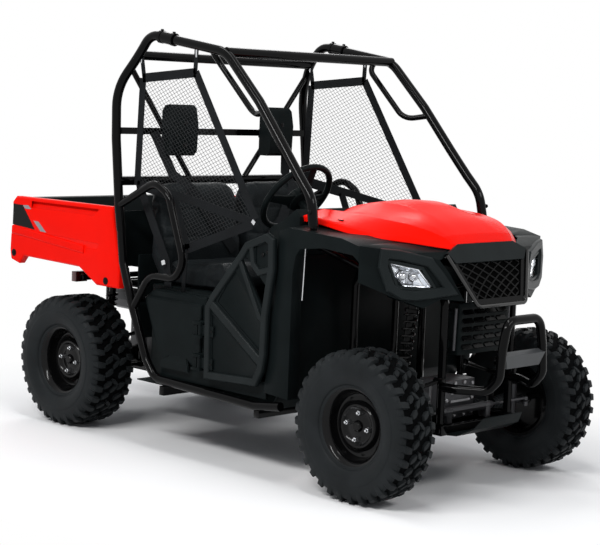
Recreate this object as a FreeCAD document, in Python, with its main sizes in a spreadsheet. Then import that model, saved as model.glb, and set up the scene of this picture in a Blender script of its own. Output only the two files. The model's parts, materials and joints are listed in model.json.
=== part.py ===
import FreeCAD, Part
import math
import os

import Sketcher

# Side by side utility vehicle with two seats, a tilting cargo bed and an open tube cage.
# Millimetres. +X points forward, +Y to the left, +Z up, and the ground is at height 0.
# The origin lies on the ground, halfway between the rearmost and the foremost point.

V = FreeCAD.Vector
os.makedirs("parts", exist_ok=True)
doc = FreeCAD.newDocument("side_by_side")

# Driving dimensions
SIZES = [
    ("wheelbase", 1854, "distance between the axles"),
    ("body_width", 1200, "width over the bed panels and the middle lines of the side tubes"),
    ("cage_height", 1800, "height of the roof clamps above the ground"),
    ("rear_overhang", 430, "from the rear axle back to the rearmost point"),
    ("front_overhang", 375, "from the front axle to the front of the bumper"),
    ("tyre_diameter", 608, "over the tread lugs"),
    ("front_tyre_width", 198, "over the front sidewalls"),
    ("rear_tyre_width", 245, "over the rear sidewalls"),
    ("front_track_outer", 1258, "over the outer faces of the front tyres"),
    ("rear_track_outer", 1270, "over the outer faces of the rear tyres"),
    ("lug_height", 14, "tread lugs above the casing"),
    ("lug_length", 42, "tread lugs along the tread"),
    ("rim_diameter", 340, "over the rim flanges"),
    ("bead_diameter", 304, "seat of the tyre bead"),
    ("rim_wall", 6, "sheet of the wheel disc, barrel and flange"),
    ("rim_well", 14, "depth of the rim's drop below the bead seat"),
    ("hub_diameter", 84, "hub that carries the wheel disc"),
    ("hub_height", 18, "hub beyond the wheel disc"),
    ("spindle_diameter", 30, "stub axle inside the hub"),
    ("spindle_depth", 36, "length of the hub's socket round the stub axle"),
    ("spindle_end_gap", 3, "clearance at the end of the stub axle"),
    ("cage_tube", 42, "outer diameter of the cage tubes"),
    ("side_tube", 38, "outer diameter of the side guard tubes"),
    ("brace_tube", 26, "outer diameter of the braces"),
    ("frame_tube", 34, "outer diameter of the round frame tubes"),
    ("post_tube", 30, "outer diameter of the frame's posts"),
    ("shock_bar", 24, "bar on an arm that carries the shock"),
    ("grab_tube", 22, "grab handles and the shift lever's knob"),
    ("stem_rod", 11, "stems of the pedals and the shift lever"),
    ("gate_pin", 10, "hinge pins of the tailgate and the doors"),
    ("hinge_barrel", 22, "outer diameter of the door's hinge barrels"),
    ("hinge_height", 46, "height of a door hinge's barrel"),
    ("hinge_leaf", 5, "thickness of the hinge leaves"),
    ("rail_side", 40, "side of the square frame rails"),
    ("cross_side", 30, "side of the square cross members"),
    ("bend_radius", 90, "centre line radius of the tube bends"),
    ("sleeve_wall", 5, "wall of the sleeve clamps on the roof tubes"),
    ("sleeve_length", 104, "length of the sleeve clamps"),
    ("pivot_pin", 24, "pin of the bed's tilting hinge"),
    ("panel_wall", 4, "wall of the moulded panels"),
    ("plate_wall", 5, "thickness of skid plate and floor"),
    ("door_depth", 13, "depth of the shallow door"),
    ("relief", 5, "depth of the recesses in doors and panels"),
    ("bevel", 7, "bevel round the moulded panels"),
    ("panel_depth", 38, "depth of the moulded bed and side panels"),
    ("lamp_depth", 60, "depth of the headlamp housings"),
    ("lamp_recess", 8, "lens behind the front face of its surround"),
    ("grille_depth", 14, "depth of the grille's frame"),
    ("mesh_wall", 5, "width and thickness of the grille's bars"),
    ("knob_diameter", 33, "quarter-turn knobs of the hood"),
    ("fit_gap", 0.3, "clearance between pieces that seat on each other"),
    ("swing_gap", 7, "clearance between pieces that swing past each other"),
    ("overrun", 20, "how far a cutting tool runs past what it cuts"),
    ("steering_wheel_diameter", 360, "over the rim of the steering wheel"),
    ("steering_rim_tube", 28, "section of the steering wheel's rim"),
    ("steering_spoke", 21, "spokes of the steering wheel"),
    ("steering_boss", 35, "depth of the steering wheel's hub below its rim"),
    ("column_diameter", 36, "steering column"),
    ("lower_shaft", 18, "steering shaft below the column"),
    ("knuckle_height", 142, "height of the steering knuckle between its ball joints"),
    ("ball_cup", 32, "height of a ball joint's housing"),
    ("arm_tube", 18, "tube of the suspension arms"),
    ("arm_spread", 130, "half the distance between an arm's two bushes"),
    ("bush_length", 44, "length of a suspension bush"),
    ("half_shaft", 22, "diameter of the shafts that drive the wheels"),
    ("tie_rod", 12, "diameter of the steering tie rods"),
    ("rod_end", 14, "height of the ends of the tie rods"),
    ("spring_diameter", 60, "over the coil springs"),
    ("spring_wire", 9, "wire of the coil springs"),
    ("damper_diameter", 34, "body of the shock absorber"),
    ("collar_height", 12, "spring seats on the shocks"),
    ("muffler_diameter", 110, "over the muffler"),
    ("strap_width", 48, "width of the belts"),
    ("strap_wall", 3, "thickness of belts and nets"),
    ("receiver_side", 64, "outer side of the square hitch receiver"),
    ("receiver_bore", 51, "inner side of the square hitch receiver"),
    ("hitch_pin_bore", 16, "bore for the hitch pin"),
    ("same_point", 0.001, "corners closer than this are one corner"),
]

sheet = doc.addObject("Spreadsheet::Sheet", "Sizes")
for row, (alias, value, note) in enumerate(SIZES, start=1):
    sheet.set(f"A{row}", alias)
    sheet.set(f"B{row}", str(value))
    sheet.set(f"C{row}", note)
    sheet.setAlias(f"B{row}", alias)
doc.recompute()


def size(alias):
    return float(sheet.get(alias))


# Body lines: the side view and the cross sections are drawn on a grid.
# One station is a tenth of a metre at the present wheelbase, and so are one
# step across from the centre plane and one step up from the ground.
wheelbase_stations_share = 18.54
half_width_steps_share = 6
height_steps_share = 18
station = size("wheelbase") / wheelbase_stations_share
across = size("body_width") / 2 / half_width_steps_share
up = size("cage_height") / height_steps_share
rear_axle_x = (size("rear_overhang") - size("wheelbase") - size("front_overhang")) / 2
front_axle_x = rear_axle_x + size("wheelbase")
wheel_z = size("tyre_diameter") / 2
gap = size("fit_gap")

RIGHT, LEFT = -1, 1
SIDES = [(RIGHT, "right"), (LEFT, "left")]
PLANE_SIDE = "XZ_Plane"
PLANE_TOP = "XY_Plane"
TUBE_SIDES = 8
ROD_SIDES = 6
WHEEL_SIDES = 16
SPRING_TURNS = 4
SPRING_CHORDS = 5
LATTICE_ROWS = 3
nodes = []


def at(x, y, z):
    """Point on the body lines: stations ahead of the rear axle, steps across, steps up."""
    return V(rear_axle_x + x * station, y * across, z * up)


def points_at(points_share, side=LEFT):
    return [at(x, side * y, z) for x, y, z in points_share]


def keep(thing, label):
    """Marks an object of the document as a finished sub-part."""
    thing.Label = label
    nodes.append(thing)
    return thing


# Tubes and rods: bends are drawn as two chords and round sections as regular polygons

largest_bend_share = 0.42
slight_turn_share = 0.08


def bent(points, radius):
    """Path through the points whose corners are replaced by two chords of the bend."""
    path = [points[0]]
    for before, corner, after in zip(points, points[1:], points[2:]):
        back = (before - corner).normalize()
        ahead = (after - corner).normalize()
        half = back.getAngle(ahead) / 2
        if math.pi - 2 * half < math.pi * slight_turn_share:
            path.append(corner)
            continue
        shorter = min(before.distanceToPoint(corner), after.distanceToPoint(corner))
        reach = min(radius / math.tan(half), shorter * largest_bend_share)
        inward = (back + ahead).normalize()
        depth = reach / math.cos(half) - reach * math.tan(half)
        path += [corner + back * reach, corner + inward * depth, corner + ahead * reach]
    return path + [points[-1]]


def tube(points, diameter, name="Tube", sides=TUBE_SIDES):
    """Tube along the points. The diameter is a cell of the sheet."""
    path = bent(points, size("bend_radius"))
    spine = doc.addObject("Part::Feature", name + "_path")
    spine.Shape = Part.makePolygon(path)
    ring = doc.addObject("Part::RegularPolygon", name + "_section")
    ring.Polygon = sides
    ring.setExpression("Circumradius", f"Sizes.{diameter} / 2")
    ring.Placement = FreeCAD.Placement(path[0], FreeCAD.Rotation(V(0, 0, 1), path[1] - path[0]))
    sweep = doc.addObject("Part::Sweep", name)
    sweep.Sections = [ring]
    sweep.Spine = (spine, [])
    sweep.Solid = True
    sweep.Transition = "Right corner"
    return sweep


def tube_at(route_share, diameter, name="Tube", side=LEFT, sides=TUBE_SIDES):
    return tube(points_at(route_share, side), diameter, name, sides)


def crossing(end_share, diameter, name):
    """Tube straight across the vehicle, from the given end to its mirror image."""
    x, y, z = end_share
    return tube([at(x, -y, z), at(x, y, z)], diameter, name, ROD_SIDES)


def rod(start, end, diameter, name="Rod", sides=ROD_SIDES):
    """Straight bar between two points. The diameter is a formula of cells."""
    bar = doc.addObject("Part::Prism", name)
    bar.Polygon = sides
    bar.setExpression("Circumradius", f"({diameter}) / 2")
    bar.Height = start.distanceToPoint(end)
    bar.Placement = FreeCAD.Placement(start, FreeCAD.Rotation(V(0, 0, 1), end - start))
    return bar


def bore(start, end, diameter, name="Bore"):
    """Round cutting tool between two points."""
    bar = doc.addObject("Part::Cylinder", name)
    bar.setExpression("Radius", f"({diameter}) / 2")
    bar.Height = start.distanceToPoint(end)
    bar.Placement = FreeCAD.Placement(start, FreeCAD.Rotation(V(0, 0, 1), end - start))
    return bar


# Blocks, booleans and sketched plates

def box(low, high, name="Block"):
    """Block between two opposite corners."""
    block = doc.addObject("Part::Box", name)
    block.Length = abs(high.x - low.x)
    block.Width = abs(high.y - low.y)
    block.Height = abs(high.z - low.z)
    corner = V(min(low.x, high.x), min(low.y, high.y), min(low.z, high.z))
    block.Placement = FreeCAD.Placement(corner, FreeCAD.Rotation())
    return block


def block_at(corners_share, side=LEFT, name="Block"):
    low, high = points_at(corners_share, side)
    return box(low, high, name)


def beam(run_share, side, wide, high, name):
    """Square beam along X or Y that stands on the line between two points."""
    start, end = points_at(run_share, side)
    if start.y == end.y:
        half = V(0, wide / 2, 0)
    else:
        half = V(wide / 2, 0, 0)
    return box(start - half, end + half + V(0, 0, high), name)


def fuse(pieces, name="Joined"):
    joined = doc.addObject("Part::MultiFuse", name)
    joined.Shapes = pieces
    joined.Refine = True
    return joined


def group(pieces, name="Group"):
    bundle = doc.addObject("Part::Compound", name)
    bundle.Links = pieces
    return bundle


def cut(base, tools, name="Cut"):
    result = doc.addObject("Part::Cut", name)
    result.Base = base
    result.Tool = tools[0] if len(tools) == 1 else group(tools, name + "_tools")
    return result


def loop(points):
    return [Part.LineSegment(a, b) for a, b in zip(points, points[1:] + points[:1])]


def plane_of(body, role):
    return [plane for plane in body.Origin.OriginFeatures if plane.Role == role][0]


def slab(points_share, plane, thickness, offset, name):
    """Outline padded to both sides of its middle plane, which lies at the offset."""
    body = doc.addObject("PartDesign::Body", name)
    if plane == PLANE_SIDE:
        points = [V(x * station, z * up, 0) for x, z in points_share]
        place = V(rear_axle_x, offset, 0)
    else:
        points = [V(x * station, y * across, 0) for x, y in points_share]
        place = V(rear_axle_x, 0, offset)
    sketch = body.newObject("Sketcher::SketchObject", name + "_outline")
    sketch.AttachmentSupport = (plane_of(body, plane), [""])
    sketch.MapMode = "FlatFace"
    sketch.addGeometry(loop(points), False)
    count = len(points)
    corners = [Sketcher.Constraint("Coincident", i, 2, (i + 1) % count, 1) for i in range(count)]
    sketch.addConstraint(corners)
    pad = body.newObject("PartDesign::Pad", name + "_pad")
    pad.Profile = sketch
    pad.Midplane = True
    if isinstance(thickness, str):
        pad.setExpression("Length", thickness)
    else:
        pad.Length = thickness
    body.Tip = pad
    body.Placement = FreeCAD.Placement(place, FreeCAD.Rotation())
    return body


# Faceted solids: rings of corners joined by flat faces

def face(corners):
    return Part.Face(Part.makePolygon(corners + corners[:1]))


def facets(corners):
    """Flat faces over a ring of corners, which may lie out of one plane."""
    tiny = size("same_point")
    ends = [a for a, b in zip(corners, corners[-1:] + corners[:-1]) if a.distanceToPoint(b) > tiny]
    if len(ends) < 3:
        return []
    facing = (ends[1] - ends[0]).cross(ends[2] - ends[0]).normalize()
    if all(abs((point - ends[0]).dot(facing)) < tiny for point in ends):
        return [face(ends)]
    return [face([ends[0], a, b]) for a, b in zip(ends[1:], ends[2:])]


def faceted(rings, name, closed=False):
    """Solid between rings that have the same number of corners."""
    faces = []
    followers = rings[1:]
    if closed:
        followers = rings[1:] + rings[:1]
    for ring, after in zip(rings, followers):
        count = len(ring)
        for i in range(count):
            j = (i + 1) % count
            faces += facets([ring[i], ring[j], after[j], after[i]])
    if not closed:
        faces += facets(rings[0]) + facets(rings[-1])
    shell = Part.makeShell(faces)
    shell.sewShape()
    solid = Part.makeSolid(shell)
    if solid.Volume < 0:
        solid.reverse()
    feature = doc.addObject("Part::Feature", name)
    feature.Shape = solid
    return feature


def turned(profile, sides, name):
    """Solid of regular polygons about the Y axis. The profile holds (half width over flats, y) pairs."""
    rings = []
    angles = [2 * math.pi * (i + 1 / 2) / sides for i in range(sides)]
    for radius, y in profile:
        corner = radius / math.cos(math.pi / sides)
        rings.append([V(corner * math.sin(angle), y, corner * math.cos(angle)) for angle in angles])
    return faceted(rings, name, closed=True)


def inset(points, margin):
    """Outline in a plane whose edges are all moved inward by the margin."""
    around = list(zip(points, points[1:] + points[:1]))
    area = sum(a[0] * b[1] - b[0] * a[1] for a, b in around)
    way = math.copysign(margin, area)
    normals = []
    for a, b in around:
        length = math.hypot(b[0] - a[0], b[1] - a[1])
        normals.append(((a[1] - b[1]) / length, (b[0] - a[0]) / length))
    result = []
    for corner, (p, q), (r, s) in zip(points, normals[-1:] + normals[:-1], normals):
        stretch = way / (1 + p * r + q * s)
        result.append((corner[0] + (p + r) * stretch, corner[1] + (q + s) * stretch))
    return result


def moulded(outline_share, side, face_y, depth, name):
    """Hollow panel seen from the side: a bevelled tray, open towards the middle of the vehicle."""
    wall = size("panel_wall")
    bevel = size("bevel")
    outline = [(rear_axle_x + x * station, z * up) for x, z in outline_share]
    back = face_y - depth
    places = [(0, back), (0, face_y - bevel), (bevel, face_y)]
    outer = [[V(x, side * y, z) for x, z in inset(outline, margin)] for margin, y in places]
    places = [(wall, back - size("overrun")), (wall, face_y - bevel - wall), (bevel + wall, face_y - wall)]
    hollow = [[V(x, side * y, z) for x, z in inset(outline, margin)] for margin, y in places]
    return cut(faceted(outer, name + "_outer"), [faceted(hollow, name + "_hollow")], name)


def prism(points, reach, name):
    """Solid between a flat outline and its copy moved by the reach."""
    facing = V(reach).normalize()
    level = [point - facing * (point - points[0]).dot(facing) for point in points]
    return faceted([level, [point + reach for point in level]], name)


def shrunk(points, margin):
    """Outline whose corners are moved towards its middle."""
    middle = sum(points, V()) * (1 / len(points))
    return [point + (middle - point).normalize() * margin for point in points]


# Cage

b_post_share = [(4.13, 6.0, 9.5), (3.94, 6.0, 10.6), (3.62, 6.0, 13.6), (3.44, 5.9, 15.8),
                (4.36, 5.42, 17.3), (5.15, 5.446, 18.218), (6.25, 5.4, 18.05)]
roof_share = [(6.25, 5.4, 18.05), (9.85, 5.25, 17.5), (11.98, 5.25, 15.46), (13.6, 5.3, 13.6),
              (14.57, 5.35, 12.51), (15.3, 5.4, 11.75), (15.52, 5.45, 10.6)]


def rear_cage():
    brace_share = [(4.0, 5.6, 16.8), (3.83, 1.7, 11.75)]
    bracket_share = [(3.7, 2.72, 13.7), (4.15, 3.42, 14.1)]
    header_share = (4.36, 5.42, 17.3)
    shoulder_share = (3.83, 6.0, 11.7)
    bar_share = [(3.62, -5.95, 13.78), (3.74, 5.95, 14.08)]
    pieces = []
    bores = []
    for side, word in SIDES:
        pieces.append(tube_at(b_post_share, "cage_tube", "Rear_post", side))
        pieces.append(tube_at(brace_share, "brace_tube", "Cage_brace", side, ROD_SIDES))
        pieces.append(block_at(bracket_share, side, "Headrest_bracket"))
        joint, next_point = points_at(roof_share[:2], side)
        ahead = (next_point - joint).normalize()
        half_sleeve = size("sleeve_length") / 2
        sleeve = "Sizes.cage_tube + 2 * (Sizes.sleeve_wall + Sizes.fit_gap)"
        pieces.append(rod(joint - ahead * half_sleeve, joint + ahead * half_sleeve, sleeve, "Sleeve", TUBE_SIDES))
        bores.append(bore(joint, joint + ahead * size("sleeve_length"), "Sizes.cage_tube + 2 * Sizes.fit_gap"))
    pieces.append(crossing(header_share, "cage_tube", "Rear_header"))
    pieces.append(crossing(shoulder_share, "cage_tube", "Shoulder_bar"))
    pieces.append(block_at(bar_share, LEFT, "Headrest_bar"))
    return keep(cut(fuse(pieces, "Rear_tubes"), bores, "Rear_cage"), "cage_rear")


def front_cage(rear):
    grab_share = [(8.9, 5.28, 17.64), (8.9, 4.8, 17.1), (11.2, 4.75, 14.9), (12.3, 5.25, 15.1)]
    header_share = (9.85, 5.25, 17.5)
    pieces = []
    for side, word in SIDES:
        pieces.append(tube_at(roof_share, "cage_tube", "Roof_tube", side))
        pieces.append(tube_at(grab_share, "brace_tube", "Grab_tube", side, ROD_SIDES))
    pieces.append(crossing(header_share, "cage_tube", "Front_header"))
    return keep(cut(fuse(pieces, "Front_tubes"), [rear], "Front_cage"), "cage_front")


# Side guards: the guard tube, the sill and the hip hoop on each side

guard_share = [(4.13, 6.0, 9.5), (4.33, 6.0, 8.07), (4.96, 6.0, 6.43), (6.1, 6.0, 3.95),
               (6.75, 6.0, 3.2), (13.08, 6.0, 3.0), (14.6, 6.0, 3.2)]
hip_share = [(3.94, 6.0, 10.6), (6.36, 6.0, 11.8), (7.3, 6.0, 11.3), (8.4, 6.0, 8.5),
             (7.9, 6.0, 7.7), (6.2, 6.0, 7.7), (5.1, 6.0, 6.1)]


def side_guards(rear):
    guards = []
    for side, word in SIDES:
        guard = tube_at(guard_share, "side_tube", "Guard_tube", side)
        hip = tube_at(hip_share, "frame_tube", "Hip_tube", side)
        joined = fuse([guard, hip], "Guard_tubes")
        guards.append(keep(cut(joined, [rear], "Side_guard"), "side_guard_" + word))
    return guards


# Frame

bed_pivot_share = (-2.4, 7.05)
bed_rail_z_share = 7.35
gate_pivot_share = (-3.97, 7.95)
rail_y_share = 2.2
rail_z_share = 2.5
shock_top_front_share = (18.9, 3.2, 8.2)
shock_top_rear_share = (0, 3.1, 6.5)
receiver_share = [(-3.8, 0, 2.9), (-1.7, 0, 2.9)]
hitch_pin_share = (-3.35, 0, 2.9)


def receiver():
    """Square hitch receiver under the tail, with its cross bore for the hitch pin."""
    start, end = points_at(receiver_share)
    half = size("receiver_side") / 2
    hole = size("receiver_bore") / 2
    outer = box(start - V(0, half, half), end + V(0, half, half), "Receiver")
    run = V(size("overrun"), 0, 0)
    inner = box(start - run - V(0, hole, hole), end - run + V(0, hole, hole), "Receiver_hollow")
    pin = at(*hitch_pin_share)
    reach = V(0, size("receiver_side"), 0)
    return cut(outer, [inner, bore(pin - reach, pin + reach, "Sizes.hitch_pin_bore")], "Hitch_receiver")


def mirrored_tubes(routes_share, diameter, name, sides=TUBE_SIDES):
    return [tube_at(route, diameter, name, side, sides) for route in routes_share for side, word in SIDES]


def mirrored_blocks(corners_share, name):
    return [block_at(corners_share, side, name) for side, word in SIDES]


def posts_at(posts_share):
    foot_share = 2.7
    routes = [[(x, rail_y_share, foot_share), (x, rail_y_share, top)] for x, top in posts_share]
    return mirrored_tubes(routes, "post_tube", "Post", ROD_SIDES)


def rails():
    """Square rails with their cross members and the outriggers that carry the sills."""
    rail = size("rail_side")
    cross = size("cross_side")
    rail_run_share = [(-2.0, rail_y_share, rail_z_share), (20.1, rail_y_share, rail_z_share)]
    members_share = [-1.8, 0, 2.8, 5.4, 9.0, 14.2, 18.5, 19.7]
    outriggers_share = [7.2, 13.2]
    pieces = [beam(rail_run_share, side, rail, rail, "Rail") for side, word in SIDES]
    for x in members_share:
        member_share = [(x, -rail_y_share, rail_z_share), (x, rail_y_share, rail_z_share)]
        pieces.append(beam(member_share, LEFT, cross, cross, "Cross_member"))
    for x in outriggers_share:
        outrigger_share = [(x, -half_width_steps_share, rail_z_share), (x, half_width_steps_share, rail_z_share)]
        pieces.append(beam(outrigger_share, LEFT, cross, rail, "Outrigger"))
    return fuse(pieces, "Rails")


def front_structure():
    """Round tubes from the rails up to the hood and the feet of the cage."""
    loop_share = [(19.84, 2.2, 2.7), (19.84, 2.2, 8.6), (15.0, 2.2, 9.0), (15.0, 2.2, 2.7)]
    hanger_share = [(18.9, 2.2, 8.67), (18.9, 2.2, 8.2)]
    stay_share = [(15.51, 5.45, 10.7), (15.5, 5.3, 9.9), (15.26, 2.2, 8.74)]
    cross_tubes_share = [(19.62, 2.2, 8.38), (15.26, 2.2, 8.74), shock_top_front_share]
    pieces = mirrored_tubes([loop_share], "frame_tube", "Front_loop")
    pieces += posts_at([(17.24, 8.81)])
    pieces += mirrored_tubes([hanger_share], "brace_tube", "Hanger", ROD_SIDES)
    pieces += mirrored_tubes([stay_share], "post_tube", "Cage_foot", ROD_SIDES)
    for end_share in cross_tubes_share:
        pieces.append(crossing(end_share, "brace_tube", "Cross_tube"))
    return fuse(pieces, "Front_structure")


def rear_structure():
    """Round tubes that carry the cargo bed, with its pivot pin, its rests and the hitch receiver."""
    upper_share = [(-2.6, 2.2, 6.5), (4.93, 2.2, 6.5)]
    cross_tubes_share = [(-1.3, 2.2, 6.4), shock_top_rear_share]
    hip_cross_share = (4.93, 6.0, 6.47)
    tail_cross_share = (-2.45, 3.0, 6.52)
    ear_share = [(-2.6, 1.9, 6.4), (-2.2, 2.0, 7.2)]
    rest_share = [(3.0, 2.05, 6.5), (3.3, 2.35, bed_rail_z_share)]
    pin_reach_share = 2.4
    pieces = mirrored_tubes([upper_share], "frame_tube", "Rear_rail")
    pieces += posts_at([(-1.3, 6.5), (1.3, 6.5), (4.6, 6.5)])
    pieces += mirrored_blocks(ear_share, "Pivot_ear")
    for side, word in SIDES:
        low, high = points_at(rest_share, side)
        pieces.append(box(low, high - V(0, 0, gap), "Bed_rest"))
    for end_share in cross_tubes_share:
        pieces.append(crossing(end_share, "brace_tube", "Cross_tube"))
    pieces.append(crossing(hip_cross_share, "post_tube", "Hip_cross_tube"))
    pieces.append(crossing(tail_cross_share, "post_tube", "Tail_cross_tube"))
    x, z = bed_pivot_share
    pieces.append(rod(at(x, -pin_reach_share, z), at(x, pin_reach_share, z), "Sizes.pivot_pin", "Bed_pivot_pin"))
    pieces.append(receiver())
    return fuse(pieces, "Rear_structure")


def frames(cages):
    """The three parts of the frame, and the whole of it as a tool that trims what sits on it."""
    lower = rails()
    ahead = front_structure()
    behind = rear_structure()
    keep(cut(lower, cages, "Main_frame"), "main_frame")
    keep(cut(ahead, cages + [lower], "Front_frame"), "front_frame")
    keep(cut(behind, cages + [lower], "Rear_frame"), "rear_frame")
    return cut(fuse([lower, ahead, behind], "Whole_frame"), cages, "Frame_tool")


def skid_plate():
    wall = size("plate_wall")
    flat_share = [(-1.7, -2.35), (19.0, -2.35), (20.3, -1.7), (20.3, 1.7), (19.0, 2.35), (-1.7, 2.35)]
    nose_share = [(20.3, 1.7, 2.5), (21.0, 1.5, 2.85), (21.3, 1.3, 3.3)]
    top = rail_z_share * up
    plate = slab(flat_share, PLANE_TOP, "Sizes.plate_wall", top - wall / 2, "Skid_flat")
    drop = V(0, 0, -wall)
    rings = []
    for place_share in nose_share:
        right, left = points_at([place_share], RIGHT)[0], points_at([place_share])[0]
        rings.append([right, left, left + drop, right + drop])
    keep(fuse([plate, faceted(rings, "Skid_nose")], "Skid_plate"), "skid_plate")


def floor_pan():
    """Floor with its toe board and two pedals."""
    wall = size("plate_wall")
    floor = rail_z_share * up + size("rail_side")
    inner = size("body_width") / 2 - size("side_tube") / 2 - gap
    base = floor / up
    rise = wall / up
    slim = wall / station
    rear_share = 5.3
    bend_share = 13.8
    front_share = 14.45
    toe_z_share = 3.9
    top_share = 9.3
    outline_share = [(rear_share, base), (bend_share, base), (front_share, toe_z_share), (front_share, top_share),
                     (front_share - slim, top_share), (front_share - slim, toe_z_share + slim / 2),
                     (bend_share - slim / 2, base + rise), (rear_share, base + rise)]
    pedals_share = [[(13.3, 3.75, 4.3), (13.38, 3.45, 5.0)], [(13.3, 3.15, 4.3), (13.38, 2.45, 4.8)]]
    stems_share = [[(13.34, 3.6, 4.9), (14.42, 3.6, 6.4)], [(13.34, 2.8, 4.7), (14.42, 2.8, 6.4)]]
    pieces = [slab(outline_share, PLANE_SIDE, 2 * inner, 0, "Floor")]
    for pedal_share, stem_share in zip(pedals_share, stems_share):
        start, end = points_at(stem_share, RIGHT)
        pieces.append(block_at(pedal_share, RIGHT, "Pedal"))
        pieces.append(rod(start, end, "Sizes.stem_rod", "Pedal_stem"))
    return keep(fuse(pieces, "Floor_pan"), "floor_pan")


def seat_base():
    """Box under the seats, folded from sheet and open at the back and below."""
    wall = size("plate_wall")
    run = size("overrun")
    corners_share = [(5.5, -5.2, 0), (9.7, 5.2, 7.2)]
    low, high = points_at(corners_share)
    low.z = rail_z_share * up + size("rail_side") + wall
    hollow = box(low + V(-run, wall, -run), high - V(wall, wall, wall), "Seat_hollow")
    keep(cut(box(low, high, "Seat_box"), [hollow], "Seat_base"), "seat_base")


def seats():
    middle_share = 2.6
    width_share = 4.8
    cushion_share = [(5.9, 7.2), (10.1, 7.2), (10.4, 7.45), (10.45, 7.9), (10.2, 8.3), (9.6, 8.45), (8.0, 8.25),
                     (6.4, 8.15), (5.9, 8.4)]
    back_share = [(4.85, 8.15), (5.52, 7.2), (5.87, 7.2), (5.95, 8.8), (5.75, 10.2), (5.55, 11.3), (5.35, 11.8),
                  (5.1, 11.95), (4.85, 11.9), (4.68, 11.5), (4.65, 10.6)]
    cushions = []
    backs = []
    width = width_share * across
    for side, word in SIDES:
        middle = side * middle_share * across
        cushion = slab(cushion_share, PLANE_SIDE, width, middle, "Cushion")
        cushion.Placement.Base += V(0, 0, gap)
        cushions.append(cushion)
        back = slab(back_share, PLANE_SIDE, width, middle, "Backrest")
        back.Placement.Base += V(0, 0, gap)
        backs.append(back)
    backrest = group(backs, "Backs")
    keep(cut(group(cushions, "Cushions"), [backrest], "Seat_cushions"), "seat_cushions")
    keep(backrest, "seat_backs")


def headrests():
    outline_share = [(4.15, 12.85), (4.75, 12.85), (4.95, 13.1), (5.0, 14.3), (4.85, 15.0), (4.65, 15.2),
                     (4.35, 15.15), (4.15, 14.9)]
    middle_share = 3.07
    width_share = 1.5
    pads = []
    for side, word in SIDES:
        pad = slab(outline_share, PLANE_SIDE, width_share * across, side * middle_share * across, "Headrest")
        pad.Placement.Base += V(gap, 0, 0)
        pads.append(pad)
    keep(group(pads, "Headrests"), "headrests")


def nets(others):
    """Side nets with their straps, and the lap belts beside the seats."""
    net_y_share = 5.36
    net_share = [(4.6, 16.3), (8.1, 16.6), (12.1, 10.6), (11.9, 10.4), (7.9, 9.0), (6.9, 11.2), (4.4, 11.55)]
    straps_share = [[(4.6, 16.2), (4.9, 16.2), (4.75, 17.6), (4.45, 17.6)],
                    [(7.9, 16.5), (8.2, 16.5), (8.25, 17.9), (7.95, 17.9)],
                    [(7.6, 9.3), (8.1, 9.1), (7.9, 7.0), (7.5, 7.0)]]
    belt_share = [(4.2, 5.21, 11.7), (6.3, 5.21, 8.3), (6.6, 5.21, 6.9)]
    half = V(size("strap_width") / 2, 0, 0)
    pieces = []
    for side, word in SIDES:
        middle = side * net_y_share * across
        for outline_share in [net_share] + straps_share:
            pieces.append(slab(outline_share, PLANE_SIDE, "Sizes.strap_wall", middle, "Net"))
        wall = V(0, side * size("strap_wall"), 0)
        rings = []
        for point in points_at(belt_share, side):
            rings.append([point - half, point + half, point + half + wall, point - half + wall])
        pieces.append(faceted(rings, "Belt"))
    return keep(cut(fuse(pieces, "Straps"), others, "Side_nets"), "side_nets")


# Controls

wheel_hub_share = (12.4, -3.3, 11.53)


def dash(hood_piece):
    outline_share = [(12.9, 9.0), (12.6, 9.8), (12.75, 10.35), (13.4, 10.65), (14.2, 11.2), (14.4, 10.9),
                     (14.4, 9.0)]
    width_share = 10.2
    pod_share = [(13.0, -4.0, 10.3), (13.5, -2.6, 10.95)]
    handle_share = [(12.9, 1.6, 10.1), (12.2, 1.7, 10.45), (12.2, 3.7, 10.45), (12.9, 3.8, 10.1)]
    lever_share = [(12.8, -0.9, 9.6), (12.15, -0.9, 10.4)]
    knob_share = [(12.17, -0.9, 10.38), (11.95, -0.9, 10.65)]
    pieces = [slab(outline_share, PLANE_SIDE, width_share * across, 0, "Dash_panel")]
    pieces.append(block_at(pod_share, LEFT, "Instrument_pod"))
    pieces.append(tube_at(handle_share, "grab_tube", "Grab_handle", LEFT, ROD_SIDES))
    start, end = points_at(lever_share)
    pieces.append(rod(start, end, "Sizes.stem_rod", "Lever"))
    start, end = points_at(knob_share)
    pieces.append(rod(start, end, "Sizes.grab_tube", "Lever_knob"))
    return keep(cut(fuse(pieces, "Dash_pieces"), [hood_piece], "Dash"), "dash")


def hoop(centre, turn, radius, thickness, name):
    """Ring of straight lengths with a six-sided section."""
    corners = 6
    rings = []
    for i in range(WHEEL_SIDES):
        angle = 2 * math.pi * i / WHEEL_SIDES
        spoke = V(math.cos(angle), math.sin(angle), 0)
        ring = []
        for k in range(corners):
            tilt = 2 * math.pi * k / corners
            corner = spoke * (radius + thickness / 2 * math.cos(tilt)) + V(0, 0, thickness / 2 * math.sin(tilt))
            ring.append(centre + turn.multVec(corner))
        rings.append(ring)
    return faceted(rings, name, closed=True)


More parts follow.
